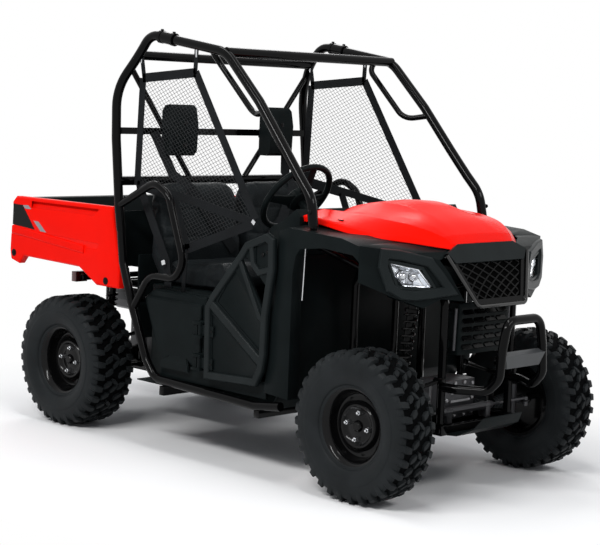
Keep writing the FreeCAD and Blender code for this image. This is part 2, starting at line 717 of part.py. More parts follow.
def steering(dash_piece, floor_piece):
    shaft_share = [(13.95, -3.3, 9.2), (14.35, -3.1, 7.75)]
    column_reach_share = 0.85
    hub = at(*wheel_hub_share)
    facing_share = (-4, 0, 3)
    normal = V(*facing_share).normalize()
    turn = FreeCAD.Rotation(V(0, 0, 1), normal)
    boss = size("steering_boss")
    thick = size("steering_rim_tube")
    reach = (size("steering_wheel_diameter") - thick) / 2
    pieces = [hoop(hub, turn, reach, thick, "Steering_rim")]
    for angle in (0, 120, 240):
        spoke = FreeCAD.Rotation(V(0, 0, 1), angle).multVec(V(0, 1, 0))
        end = hub + turn.multVec(spoke) * reach
        pieces.append(rod(hub - normal * boss / 2, end, "Sizes.steering_spoke", "Spoke"))
    pieces.append(rod(hub - normal * boss, hub + normal * boss / 3, "Sizes.hub_diameter", "Hub", TUBE_SIDES))
    keep(fuse(pieces, "Steering_wheel"), "steering_wheel")
    start = hub - normal * (boss + gap)
    column = rod(start, start - normal * column_reach_share * station, "Sizes.column_diameter", "Column")
    low, high = points_at(shaft_share)
    shaft = rod(low, high, "Sizes.lower_shaft", "Lower_shaft")
    whole = group([column, shaft], "Column_pieces")
    keep(cut(whole, [dash_piece, floor_piece], "Steering_column"), "steering_column")


# Front body

def hood():
    """Hood with a raised middle, as a thin shell between cross sections."""
    wall = size("panel_wall")
    half_share = [
        (14.2, [(4.85, 10.72), (4.9, 10.95), (3.6, 11.2), (2.4, 11.05), (1.9, 11.25), (0, 11.3)]),
        (15.4, [(4.85, 10.68), (4.8, 10.86), (3.5, 11.15), (2.4, 11.1), (1.7, 11.6), (0, 11.68)]),
        (16.6, [(4.85, 10.44), (4.7, 10.66), (3.4, 10.95), (2.3, 11.0), (1.6, 11.62), (0, 11.72)]),
        (17.6, [(4.5, 10.33), (4.3, 10.52), (3.1, 10.82), (2.2, 10.95), (1.7, 11.35), (0, 11.48)]),
        (18.7, [(3.6, 10.22), (3.4, 10.4), (2.7, 10.66), (2.1, 10.8), (1.7, 11.0), (0, 11.1)]),
        (19.55, [(2.6, 10.05), (2.45, 10.2), (2.15, 10.4), (1.9, 10.45), (1.6, 10.5), (0, 10.52)]),
        (19.95, [(2.1, 9.98), (2.0, 10.02), (1.9, 10.08), (1.8, 10.12), (1.5, 10.15), (0, 10.17)]),
    ]
    knob_share = [(16.0, 4.3, 10.55), (16.0, 4.45, 10.92)]
    drop = V(0, 0, -wall)
    inward = V(0, wall, 0)
    rings = []
    for x, half in half_share:
        section_share = [(x, -y, z) for y, z in half] + [(x, y, z) for y, z in reversed(half[:-1])]
        outer = points_at(section_share)
        inner = [point + drop for point in reversed(outer[2:-2])]
        left = [outer[-1] - inward, outer[-2] - inward + drop]
        right = [outer[1] + inward + drop, outer[0] + inward]
        rings.append(outer + left + inner + right)
    pieces = [faceted(rings, "Hood_panel")]
    for side, word in SIDES:
        start, end = points_at(knob_share, side)
        pieces.append(rod(start, end, "Sizes.knob_diameter", "Hood_knob"))
    return keep(fuse(pieces, "Hood"), "hood")


surround_share = [(18.88, 5.22, 10.03), (19.47, 3.89, 9.86), (19.95, 2.83, 9.59), (20.18, 2.42, 9.04),
                  (20.52, 1.83, 7.95), (20.11, 2.77, 8.05), (19.81, 3.51, 7.70), (19.27, 4.67, 8.12)]
lens_share = [(19.08, 4.84, 9.51), (19.36, 4.21, 9.37), (19.65, 3.59, 9.24), (19.8, 3.33, 8.85),
              (19.94, 3.07, 8.46), (19.62, 3.79, 8.51), (19.31, 4.5, 8.56), (19.2, 4.67, 9.03)]
lens_facing_share = (0.914, 0.398, 0.075)


def front_cowl(others):
    """Cowl round each headlamp: bezel, side wing and top."""
    wing_share = [[(18.42, 5.85, 10.12), (18.42, 5.85, 8.7), (18.3, 5.6, 8.7), (18.3, 5.6, 10.0)],
                  [(18.88, 5.22, 10.03), (19.27, 4.67, 8.12), (19.1, 4.5, 8.14), (18.72, 5.1, 9.95)]]
    top_share = [[(18.42, 5.85, 10.12), (18.42, 4.0, 10.2), (18.42, 4.0, 10.16), (18.42, 5.85, 10.08)],
                 [(18.88, 5.22, 10.03), (18.88, 3.6, 10.16), (18.88, 3.6, 10.12), (18.88, 5.22, 9.99)],
                 [(19.47, 3.89, 9.86), (19.47, 2.7, 10.0), (19.47, 2.7, 9.96), (19.47, 3.89, 9.82)],
                 [(19.95, 2.83, 9.59), (19.95, 2.1, 9.9), (19.95, 2.1, 9.86), (19.95, 2.83, 9.55)]]
    depth = size("lamp_depth")
    pieces = []
    lamps = []
    for side, word in SIDES:
        x, y, z = lens_facing_share
        facing = V(x, side * y, z)
        surround = points_at(surround_share, side)
        lens = points_at(lens_share, side)
        window_front = [point - facing * size("lamp_recess") / 2 for point in lens]
        window_back = [point - facing * depth for point in lens]
        bezel_back = [point - facing * depth for point in surround]
        bezel = faceted([bezel_back, surround, window_front, window_back], "Bezel", closed=True)
        wing = faceted([points_at(ring, side) for ring in wing_share], "Wing")
        top = faceted([points_at(ring, side) for ring in top_share], "Cowl_top")
        pieces.append(fuse([bezel, wing, top], "Cowl"))
        glass = [point - facing * (size("lamp_recess") + depth / 2) for point in shrunk(lens, 2 * gap)]
        lamps.append(prism(glass, facing * (depth / 2), "Lamp"))
    keep(group(lamps, "Lamps"), "headlamps")
    return keep(cut(group(pieces, "Cowls"), others, "Front_cowl"), "front_cowl")


def grille(others):
    """Frame and plain bar round a lattice of slanted bars."""
    frame_corners_share = [(20.08, -2.57, 9.84), (20.94, -1.38, 7.83), (20.94, 1.38, 7.83), (20.08, 2.57, 9.84)]
    mesh_corners_share = [(20.2, -2.05, 9.54), (20.82, -1.3, 8.1), (20.82, 1.3, 8.1), (20.2, 2.05, 9.54)]
    nose_bar_share = [(19.94, -1.8, 10.14), (20.08, -2.5, 9.84), (20.17, -1.95, 9.6), (20.17, 1.95, 9.6),
                      (20.08, 2.5, 9.84), (19.94, 1.8, 10.14)]
    facing_share = (0.92, 0, 0.392)
    facing = V(*facing_share)
    backward = facing * size("grille_depth")
    bar = size("mesh_wall")
    outer = points_at(frame_corners_share)
    inner = points_at(mesh_corners_share)
    rings = [[point - backward for point in outer], outer, inner, [point - backward for point in inner]]
    pieces = [faceted(rings, "Grille_frame", closed=True)]
    pieces.append(prism([point - backward for point in points_at(nose_bar_share)], backward, "Nose_bar"))
    low = (inner[1] + inner[2]) / 2
    high = (inner[0] + inner[3]) / 2
    along = (high - low).normalize()
    pitch = low.distanceToPoint(high) / LATTICE_ROWS
    plate = prism([point - backward / 2 - facing * bar for point in inner], facing * bar, "Lattice")
    half = V(0, pitch / 2 - bar / 2, 0)
    top = along * (pitch / 2 - bar / 2)
    holes = []
    for row in range(1, LATTICE_ROWS * 2):
        middle = low + along * (pitch / 2 * row) - backward / 2 - facing * 2 * bar
        reach = inner[2].y + (inner[3].y - inner[2].y) * row / (2 * LATTICE_ROWS) - pitch * 2 / 3
        shift = pitch / 2 * (1 - row % 2)
        columns = int((reach - shift) / pitch)
        places = {way * (shift + pitch * column) for column in range(columns + 1) for way in (-1, 1)}
        for y in sorted(places):
            centre = middle + V(0, y, 0)
            diamond = [centre - half, centre - top, centre + half, centre + top]
            holes.append(prism(diamond, facing * bar * 3, "Hole"))
    pieces.append(cut(plate, holes, "Mesh"))
    keep(cut(fuse(pieces, "Grille_pieces"), others, "Grille"), "grille")


def fenders(others):
    """Front fenders: side plate round the wheel arch, arch lip and top ledge."""
    outline_share = [(13.45, 3.6), (14.85, 3.5), (14.85, 8.64), (15.0, 9.4), (15.25, 9.7), (16.5, 9.85),
                     (18.1, 9.72), (18.42, 9.5), (18.42, 10.1), (17.5, 10.33), (14.6, 10.5), (14.05, 10.35),
                     (13.95, 9.6), (13.7, 8.5), (13.65, 5.2)]
    lip_share = outline_share[1:7]
    ledge_share = [(14.05, 10.35), (14.6, 10.5), (17.5, 10.33), (18.42, 10.1)]
    ledge_inner_share = [(4.2, 10.45), (4.2, 10.65), (4.2, 10.42), (3.9, 10.22)]
    lip_inner_share = 5.3
    face_y_share = 5.85
    wall = size("panel_wall")
    drop = V(0, 0, -wall)
    thick = V(-wall, 0, wall)
    for side, word in SIDES:
        plate = slab(outline_share, PLANE_SIDE, "Sizes.panel_wall", side * face_y_share * across, "Fender_side")
        rings = []
        for x, z in lip_share:
            edge, inner = points_at([(x, face_y_share, z), (x, lip_inner_share, z)], side)
            rings.append([edge, inner, inner + thick, edge + thick])
        lip = faceted(rings, "Arch_lip")
        rings = []
        for (x, z), (inner_y, inner_z) in zip(ledge_share, ledge_inner_share):
            edge, inner = points_at([(x, face_y_share, z), (x, inner_y, inner_z)], side)
            rings.append([edge, inner, inner + drop, edge + drop])
        ledge = faceted(rings, "Top_ledge")
        keep(cut(fuse([plate, lip, ledge], "Fender"), others, "Front_fender"), "front_fender_" + word)
    return group(nodes[-2:], "Fender_pair")


# Doors and the panels that carry their hinges

door_y_share = 6.05
hinge_x_share = 9.82
hinge_y_share = 6.17
hinge_z_share = [4.35, 5.75]
side_panel_y_share = 5.75


def hinge_bracket(side, z_share):
    """Fixed half of a door hinge: two eyes on a plate, with the pin between them."""
    middle = at(hinge_x_share, side * hinge_y_share, z_share)
    back = size("hinge_barrel")
    half = size("hinge_height") / 2 + gap
    reach = half + back / 2
    inner_y = side * (side_panel_y_share * across - size("panel_wall"))
    pieces = [rod(middle - V(0, 0, reach), middle + V(0, 0, reach), "Sizes.gate_pin", "Hinge_pin")]
    for way in (-1, 1):
        low = V(middle.x - 2 * back, inner_y, middle.z + way * half)
        high = V(middle.x + back / 2, middle.y + side * back / 2, middle.z + way * reach)
        pieces.append(box(low, high, "Hinge_eye"))
    low = V(middle.x - 2 * back, inner_y, middle.z - reach)
    high = V(middle.x - back, middle.y, middle.z + reach)
    pieces.append(box(low, high, "Hinge_plate"))
    return pieces


def side_panels(others):
    outline_share = [(5.55, 6.64), (6.2, 7.1), (9.62, 7.07), (9.62, 3.98), (7.17, 3.96), (6.32, 4.81)]
    pairs = []
    for side, word in SIDES:
        pieces = [moulded(outline_share, side, side_panel_y_share * across, size("panel_depth"), "Side_panel")]
        for z_share in hinge_z_share:
            pieces += hinge_bracket(side, z_share)
        pairs.append(fuse(pieces, "Side_panel_pieces"))
    return keep(cut(group(pairs, "Panel_pair"), others, "Side_panels"), "side_panels")


def doors():
    outline_share = [(10.1, 3.7), (10.05, 6.85), (10.35, 7.3), (12.01, 9.25), (12.35, 9.74), (13.62, 10.22),
                     (14.05, 10.0), (14.1, 8.81), (13.8, 6.85), (13.76, 5.2), (13.63, 4.47), (13.25, 3.83)]
    recesses_share = [
        [(10.44, 6.49), (13.4, 4.56), (13.14, 4.07), (10.52, 4.07)],
        [(10.75, 7.08), (11.74, 8.5), (13.66, 6.15), (13.6, 5.19)],
        [(12.93, 9.78), (13.98, 9.86), (13.98, 8.95), (12.99, 8.75)],
    ]
    window_share = [(12.1, 9.0), (12.45, 9.1), (13.66, 8.0), (13.72, 6.95), (13.6, 6.85)]
    leaf_x_share = 10.6
    outer = door_y_share * across + size("door_depth") / 2
    half = V(0, 0, size("hinge_height") / 2)
    for side, word in SIDES:
        plate = slab(outline_share, PLANE_SIDE, "Sizes.door_depth", side * door_y_share * across, "Door_plate")
        tools = [slab(window_share, PLANE_SIDE, "2 * (Sizes.door_depth + Sizes.overrun)", side * outer, "Window")]
        for recess_share in recesses_share:
            tools.append(slab(recess_share, PLANE_SIDE, "2 * Sizes.relief", side * outer, "Recess"))
        pieces = [cut(plate, tools, "Door_panel")]
        bores = []
        for z_share in hinge_z_share:
            middle = at(hinge_x_share, side * hinge_y_share, z_share)
            leaf_end = at(leaf_x_share, side * hinge_y_share, z_share)
            low = V(middle.x, side * outer, middle.z) - half
            high = V(leaf_end.x, side * (outer + size("hinge_leaf")), middle.z) + half
            pieces.append(box(low, high, "Hinge_leaf"))
            pieces.append(rod(middle - half, middle + half, "Sizes.hinge_barrel", "Hinge_barrel"))
            bores.append(bore(middle - half * 2, middle + half * 2, "Sizes.gate_pin + 2 * Sizes.fit_gap"))
        keep(cut(fuse(pieces, "Door_pieces"), bores, "Door"), "door_" + word)


def radiator(others):
    """Plate in front of the radiator with rows of slots, on its core."""
    plate_share = [(19.98, -1.6, 5.7), (20.1, 1.6, 7.8)]
    core_share = [(19.5, -1.45, 5.85), (19.8, 1.45, 7.65)]
    sides_share = [(19.5, 1.45, 5.7), (20.0, 1.6, 7.8)]
    tabs_share = [[(19.6, 1.6, 6.0), (19.8, 2.2, 6.3)], [(19.6, 1.6, 7.2), (19.8, 2.2, 7.5)]]
    columns_share = [-1.08, -0.36, 0.36, 1.08]
    rows_share = [6.05, 6.4, 6.75, 7.1, 7.45]
    half_y_share, half_z_share = 0.29, 0.07
    (back_share, *low_share), (front_share, *high_share) = plate_share
    run = V(size("overrun") / 2, 0, 0)
    holes = []
    for y in columns_share:
        for z in rows_share:
            low = at(back_share, y - half_y_share, z - half_z_share) - run
            high = at(front_share, y + half_y_share, z + half_z_share) + run
            holes.append(box(low, high, "Slot"))
    plate = cut(block_at(plate_share, LEFT, "Guard_plate"), holes, "Slotted_plate")
    pieces = [plate, block_at(core_share, LEFT, "Radiator_core")]
    for side, word in SIDES:
        pieces.append(block_at(sides_share, side, "Radiator_side"))
        pieces += [block_at(tab_share, side, "Radiator_tab") for tab_share in tabs_share]
    keep(cut(fuse(pieces, "Radiator"), others, "Radiator_guard"), "radiator_guard")


def bumper(frame):
    loop_share = [(19.84, 2.2, 4.45), (20.5, 2.2, 4.45), (21.6, 1.5, 4.45), (22.1, 1.42, 5.0), (22.1, 1.3, 6.2),
                  (22.1, 1.05, 7.3), (22.1, 0, 7.32)]
    plate_share = [(21.95, 1.3, 5.45), (22.05, 1.3, 6.05), (22.29, 1.15, 5.9), (22.2, 0.95, 5.42)]
    right = points_at(loop_share, RIGHT)
    left = points_at(loop_share[:-1], LEFT)
    pieces = [tube(right + left[::-1], "side_tube", "Bumper_tube")]
    pieces.append(faceted([points_at(plate_share, RIGHT), points_at(plate_share, LEFT)], "Bumper_plate"))
    return keep(cut(fuse(pieces, "Bumper"), [frame], "Bumper_loop"), "front_bumper")


# Wheels

rim_edge_share = 0.72
disc_place_share = 0.28
hub_cap_share = 0.8


def tyre(width, name):
    """Tyre with shoulder lugs on both sides and staggered lugs along the middle."""
    section_share = [(0, -rim_edge_share), (0.14, -rim_edge_share), (0.5, -1), (0.84, -0.96), (1, -0.74),
                     (1, 0.74), (0.84, 0.96), (0.5, 1), (0.14, rim_edge_share), (0, rim_edge_share)]
    shoulder_share = [(0.9, 0.3), (1, 0.3), (1, 0.74), (0.86, 0.97), (0.6, 0.97)]
    middle_share = (-0.2, 0.2)
    bead = size("bead_diameter") / 2
    outer = size("tyre_diameter") / 2
    tread = outer - size("lug_height")
    half = width / 2
    length = size("lug_length")
    profile = [(bead + r * (tread - bead), y * half) for r, y in section_share]
    pieces = [turned(profile, WHEEL_SIDES, name + "_casing")]
    for number in range(WHEEL_SIDES):
        turn = FreeCAD.Rotation(V(0, 1, 0), 360 * number / WHEEL_SIDES)
        for side, word in SIDES:
            shift = side * length / 8
            rings = []
            for x in (shift - length / 2, shift + length / 2):
                corners = [V(x, side * y * half, bead + r * (outer - bead)) for r, y in shoulder_share]
                rings.append([turn.multVec(corner) for corner in corners])
            pieces.append(faceted(rings, name + "_lug"))
        if number % 2:
            start, end = [y * half for y in middle_share]
            rings = []
            for way in (-1, 1):
                x = way * length / 2
                slant = length / 4
                corners = [V(x - slant, start, tread - slant), V(x + slant, end, tread - slant),
                           V(x + slant, end, outer), V(x - slant, start, outer)]
                rings.append([turn.multVec(corner) for corner in corners])
            pieces.append(faceted(rings, name + "_middle_lug"))
    return fuse(pieces, name)


def rim_profile(width):
    """Section of a wheel whose outer face looks towards +Y."""
    wall = size("rim_wall")
    seat = size("bead_diameter") / 2 - gap
    flange = size("rim_diameter") / 2
    hub = size("hub_diameter") / 2
    socket = size("spindle_diameter") / 2 + gap
    sleeve = socket + wall * 2
    edge = rim_edge_share * width / 2 + gap
    face_y = disc_place_share * width / 2
    slope = size("rim_well")
    well = seat - slope
    inner = well - wall
    top = face_y + size("hub_height")
    floor = face_y - size("spindle_depth")
    return [(0, top), (hub * hub_cap_share, top), (hub, face_y + slope / 2), (inner, face_y),
            (inner, edge - slope), (seat - wall, edge), (seat - wall, edge + wall), (flange, edge + wall),
            (flange, edge), (seat, edge), (well, edge - slope * 2), (well, slope * 2 - edge), (seat, -edge),
            (flange, -edge), (flange, -edge - wall), (seat - wall, -edge - wall), (inner, slope - edge),
            (inner, face_y - wall), (sleeve, face_y - wall), (sleeve, floor), (socket, floor), (socket, face_y),
            (0, face_y)]


def wheel(axle_x, outer, width, side, word):
    middle = V(axle_x, side * (outer - width / 2), wheel_z)
    rubber = tyre(width, "Tyre")
    rubber.Placement = FreeCAD.Placement(middle, FreeCAD.Rotation())
    keep(rubber, "tyre_" + word)
    profile = [(radius, side * y) for radius, y in rim_profile(width)]
    steel = turned(profile, WHEEL_SIDES, "Rim")
    steel.Placement = FreeCAD.Placement(middle, FreeCAD.Rotation())
    keep(steel, "rim_" + word)


def wheels():
    for side, word in SIDES:
        wheel(front_axle_x, size("front_track_outer") / 2, size("front_tyre_width"), side, "front_" + word)
        wheel(rear_axle_x, size("rear_track_outer") / 2, size("rear_tyre_width"), side, "rear_" + word)


def axle_end(track, width):
    """Distance from the centre plane to the end of a stub axle."""
    return size(track) / 2 - size(width) / 2 * (1 - disc_place_share) - size("spindle_end_gap")


# Suspension and steering

kingpin_y_share = 4.3
steering_eye_share = (19.44, 4.0)
tie_rod_z_share = 3.27
shock_y_share = 3.3
front_foot_z_share = 4.7
rear_foot_z_share = 4.3


def knuckles():
    eye_x, eye_y = steering_eye_share
    low = V(0, 0, size("arm_tube") / 2)
    reach = V(0, 0, size("knuckle_height") / 2)
    for side, word in SIDES:
        pin = V(front_axle_x, side * kingpin_y_share * across, wheel_z)
        end = V(front_axle_x, side * axle_end("front_track_outer", "front_tyre_width"), wheel_z)
        spindle = rod(pin, end, "Sizes.spindle_diameter", "Spindle", TUBE_SIDES)
        post = rod(pin - reach, pin + reach, "Sizes.frame_tube", "Kingpin", TUBE_SIDES)
        eye = at(eye_x, side * eye_y, 0) + V(0, 0, wheel_z)
        arm = rod(pin, eye, "Sizes.arm_tube", "Steering_arm")
        boss = rod(eye - low, eye + low, "Sizes.brace_tube", "Steering_eye")
        keep(fuse([spindle, post, arm, boss], "Knuckle"), "knuckle_" + word)


def rack(frame):
    """Steering rack: the sliding bar with the tie rods, and its housing on the frame."""
    eye_x, eye_y = steering_eye_share
    reach_share = 1.6
    foot_share = [(19.2, 1.1, 2.8), (19.6, 1.4, 3.4)]
    left = at(eye_x, eye_y, tie_rod_z_share)
    right = at(eye_x, -eye_y, tie_rod_z_share)
    half = V(0, 0, size("rod_end") / 2)
    pieces = [rod(right, left, "Sizes.tie_rod", "Rack_bar")]
    for end in (left, right):
        pieces.append(rod(end - half, end + half, "Sizes.brace_tube", "Rod_end"))
    keep(fuse(pieces, "Steering_rack"), "steering_rack")
    start, end = at(eye_x, -reach_share, tie_rod_z_share), at(eye_x, reach_share, tie_rod_z_share)
    pieces = [rod(start, end, "Sizes.frame_tube", "Rack_housing")]
    for side, word in SIDES:
        pieces.append(block_at(foot_share, side, "Rack_foot"))
    inside = bore(right, left, "Sizes.tie_rod + 2 * Sizes.fit_gap", "Rack_bore")
    return cut(fuse(pieces, "Rack_case"), [inside, frame], "Rack_body")


def wishbone(ball, side, foot_y, foot_z):
    """Arm of two legs from its ball joint to two bushes on the frame."""
    half = V(size("bush_length") / 2, 0, 0)
    pieces = []
    for spread in (-1, 1):
        foot = V(ball.x + spread * size("arm_spread"), side * foot_y, foot_z)
        pieces.append(rod(ball, foot, "Sizes.arm_tube", "Arm_leg"))
        pieces.append(rod(foot - half, foot + half, "Sizes.brace_tube", "Bush"))
    return pieces


def carrier_bar(ball, side, foot_y, foot_z):
    """Bar between the legs of an upper arm that carries the shock, and the middle of that bar."""
    bar_y = shock_y_share * across
    part = (abs(ball.y) - bar_y) / (abs(ball.y) - foot_y)
    half = V(size("arm_spread") * part, 0, 0)
    middle = V(ball.x, side * bar_y, ball.z + (foot_z - ball.z) * part)
    return rod(middle - half, middle + half, "Sizes.shock_bar", "Shock_bar"), middle


def front_arms(others):
    """Front suspension arms, and the places where the shocks stand."""
    pieces = []
    seats = []
    pin = kingpin_y_share * across
    reach = size("knuckle_height") / 2 + gap + size("ball_cup") / 2
    half = V(0, 0, size("ball_cup") / 2)
    foot_y = rail_y_share * across + size("frame_tube") / 2
    low_z = rail_z_share * up + size("rail_side") / 2
    high_z = front_foot_z_share * up
    for side, word in SIDES:
        low_ball = V(front_axle_x, side * pin, wheel_z - reach)
        high_ball = V(front_axle_x, side * pin, wheel_z + reach)
        low = wishbone(low_ball, side, foot_y, low_z)
        low.append(rod(low_ball - half, low_ball + half, "Sizes.frame_tube", "Cup", TUBE_SIDES))
        high = wishbone(high_ball, side, foot_y, high_z)
        high.append(rod(high_ball - half, high_ball + half, "Sizes.frame_tube", "Cup", TUBE_SIDES))
        bar, seat = carrier_bar(high_ball, side, foot_y, high_z)
        high.append(bar)
        seats.append(seat)
        pieces.append(fuse(low, "Lower_arm"))
        pieces.append(fuse(high, "Upper_arm"))
    return keep(cut(group(pieces, "Arms"), others, "Front_arms"), "front_arms"), seats


def rear_arms(frame):
    """Rear suspension arms with the hub carriers, and the places where the shocks stand."""
    pieces = []
    seats = []
    foot_y = rail_y_share * across + size("post_tube") / 2
    low_z = rail_z_share * up + size("rail_side") / 2
    high_z = rear_foot_z_share * up
    drop = V(0, 0, size("knuckle_height") / 2)
    lift = V(0, 0, size("knuckle_height") / 2 - size("ball_cup") / 2)
    for side, word in SIDES:
        inside = size("rear_track_outer") / 2 - size("rear_tyre_width")
        hub = V(rear_axle_x, side * (inside + size("frame_tube") / 2), wheel_z)
        end = V(rear_axle_x, side * axle_end("rear_track_outer", "rear_tyre_width"), wheel_z)
        joined = [rod(hub - drop, hub + drop, "Sizes.frame_tube", "Carrier", TUBE_SIDES)]
        joined.append(rod(hub, end, "Sizes.spindle_diameter", "Spindle", TUBE_SIDES))
        joined += wishbone(hub - lift, side, foot_y, low_z)
        joined += wishbone(hub + lift, side, foot_y, high_z)
        bar, seat = carrier_bar(hub + lift, side, foot_y, high_z)
        joined.append(bar)
        seats.append(seat)
        pieces.append(fuse(joined, "Rear_arm"))
    return keep(cut(group(pieces, "Carriers"), [frame], "Rear_arms"), "rear_arms"), seats


def coil(low, high, name):
    """Coil spring between two points, its wire square in section."""
    turn = FreeCAD.Rotation(V(0, 0, 1), high - low)
    out = size("spring_diameter") / 2
    wire = size("spring_wire")
    length = low.distanceToPoint(high) - wire
    steps = SPRING_TURNS * SPRING_CHORDS
    rings = []
    for step in range(steps + 1):
        angle = 2 * math.pi * step / SPRING_CHORDS
        spoke = V(math.cos(angle), math.sin(angle), 0)
        rise = V(0, 0, length * step / steps)
        top = rise + V(0, 0, wire)
        corners = [spoke * (out - wire) + rise, spoke * out + rise, spoke * out + top, spoke * (out - wire) + top]
        rings.append([low + turn.multVec(corner) for corner in corners])
    return faceted(rings, name)


def shock(low, high):
    """Shock absorber with its coil spring between two collars."""
    start_share, end_share = 0.14, 0.8
    way = high - low
    ahead = V(way).normalize()
    collar = ahead * size("collar_height")
    bite = ahead * (size("spring_wire") / 2)
    start = low + way * start_share
    end = low + way * end_share
    pieces = [rod(low, high, "Sizes.arm_tube", "Shock_rod")]
    pieces.append(rod(start - collar, start, "Sizes.spring_diameter", "Lower_collar"))
    pieces.append(rod(end, end + collar, "Sizes.spring_diameter", "Upper_collar"))
    pieces.append(rod(low + way / 2, high - collar * 2, "Sizes.damper_diameter", "Damper"))
    pieces.append(coil(start - bite, end + bite, "Spring"))
    return fuse(pieces, "Shock")


def shocks(seats, top_share, others, label):
    top_y_share = 3.0
    pieces = []
    for (side, word), seat in zip(SIDES, seats):
        pieces.append(shock(seat, at(top_share[0], side * top_y_share, top_share[2])))
    keep(cut(group(pieces, "Shocks"), others, "Shock_pair"), label)


def drive_train(frame, rack_body, rear_piece):
    """Engine block with its muffler, and the gearcases with their half shafts."""
    engine_share = [(1.3, -1.9, 2.8), (4.3, 1.9, 6.1)]
    muffler_share = [(-2.2, -0.9, 5.5), (0.8, -0.9, 5.5)]
    pipe_share = [(-2.6, -0.9, 5.5), (1.5, -0.9, 5.5)]
    front_share = [(17.7, -1.0, 2.8), (19.0, 1.0, 4.4)]
    rear_share = [(-0.9, -1.1, 2.8), (0.9, 1.1, 4.6)]
    start, end = points_at(muffler_share)
    pieces = [block_at(engine_share, LEFT, "Engine_block")]
    pieces.append(rod(start, end, "Sizes.muffler_diameter", "Muffler", TUBE_SIDES))
    start, end = points_at(pipe_share)
    pieces.append(rod(start, end, "Sizes.frame_tube", "Pipe"))
    keep(cut(fuse(pieces, "Engine_pieces"), [frame], "Engine"), "engine")
    reach = V(0, kingpin_y_share * across - size("frame_tube") / 2 - size("overrun") / 2, 0)
    middle = V(front_axle_x, 0, wheel_z)
    shaft = rod(middle - reach, middle + reach, "Sizes.half_shaft", "Half_shaft")
    case = fuse([block_at(front_share, LEFT, "Gearcase"), shaft], "Front_case")
    whole = group([case, rack_body], "Front_drive")
    keep(cut(whole, [frame], "Front_gearcase"), "front_gearcase")
    reach = V(0, size("rear_track_outer") / 2 - size("rear_tyre_width"), 0)
    middle = V(rear_axle_x, 0, wheel_z)
    shaft = rod(middle - reach, middle + reach, "Sizes.half_shaft", "Half_shaft")
    case = fuse([block_at(rear_share, LEFT, "Gearcase"), shaft], "Rear_case")
    keep(cut(case, [frame, rear_piece], "Rear_gearcase"), "rear_gearcase")


def tail_lamps(frame):
    lamp_share = [(-2.95, 2.55, 6.3), (-2.6, 3.25, 6.8)]
    foot_share = [(-2.6, 2.75, 6.4), (-2.4, 2.95, 6.7)]
    pieces = []
    for side, word in SIDES:
        lamp = [block_at(lamp_share, side, "Tail_lamp"), block_at(foot_share, side, "Lamp_foot")]
        pieces.append(fuse(lamp, "Lamp_pieces"))
    keep(cut(group(pieces, "Tail_lamp_pair"), [frame], "Tail_lamps"), "tail_lamps")


# Cargo bed

def bed_panels():
    outline_share = [(-3.85, 10.48), (-4.15, 10.2), (-4.05, 9.1), (-4.25, 8.66), (-4.3, 7.85), (-4.2, 7.4),
                     (-3.55, 7.25), (-3.2, 7.65), (1.1, 7.55), (2.4, 6.85), (4.0, 6.85), (4.04, 7.9), (3.5, 10.1),
                     (3.5, 10.5)]
    slot_share = [(-2.6, 10.32), (2.55, 10.32), (2.15, 10.0), (-2.6, 10.0)]
    band_share = [(-4.5, 8.95), (2.6, 8.75), (2.4, 8.45), (-4.5, 8.62)]
    half_width = half_width_steps_share * across
    panels = []
    for side, word in SIDES:
        panel = moulded(outline_share, side, half_width, size("panel_depth"), "Bed_side")
        tools = [slab(slot_share, PLANE_SIDE, "2 * Sizes.relief", side * half_width, "Slot"),
                 slab(band_share, PLANE_SIDE, "Sizes.relief / 2", side * half_width, "Band")]
        panels.append(cut(panel, tools, "Bed_panel"))
    keep(group(panels, "Bed_sides"), "bed_side_panels")


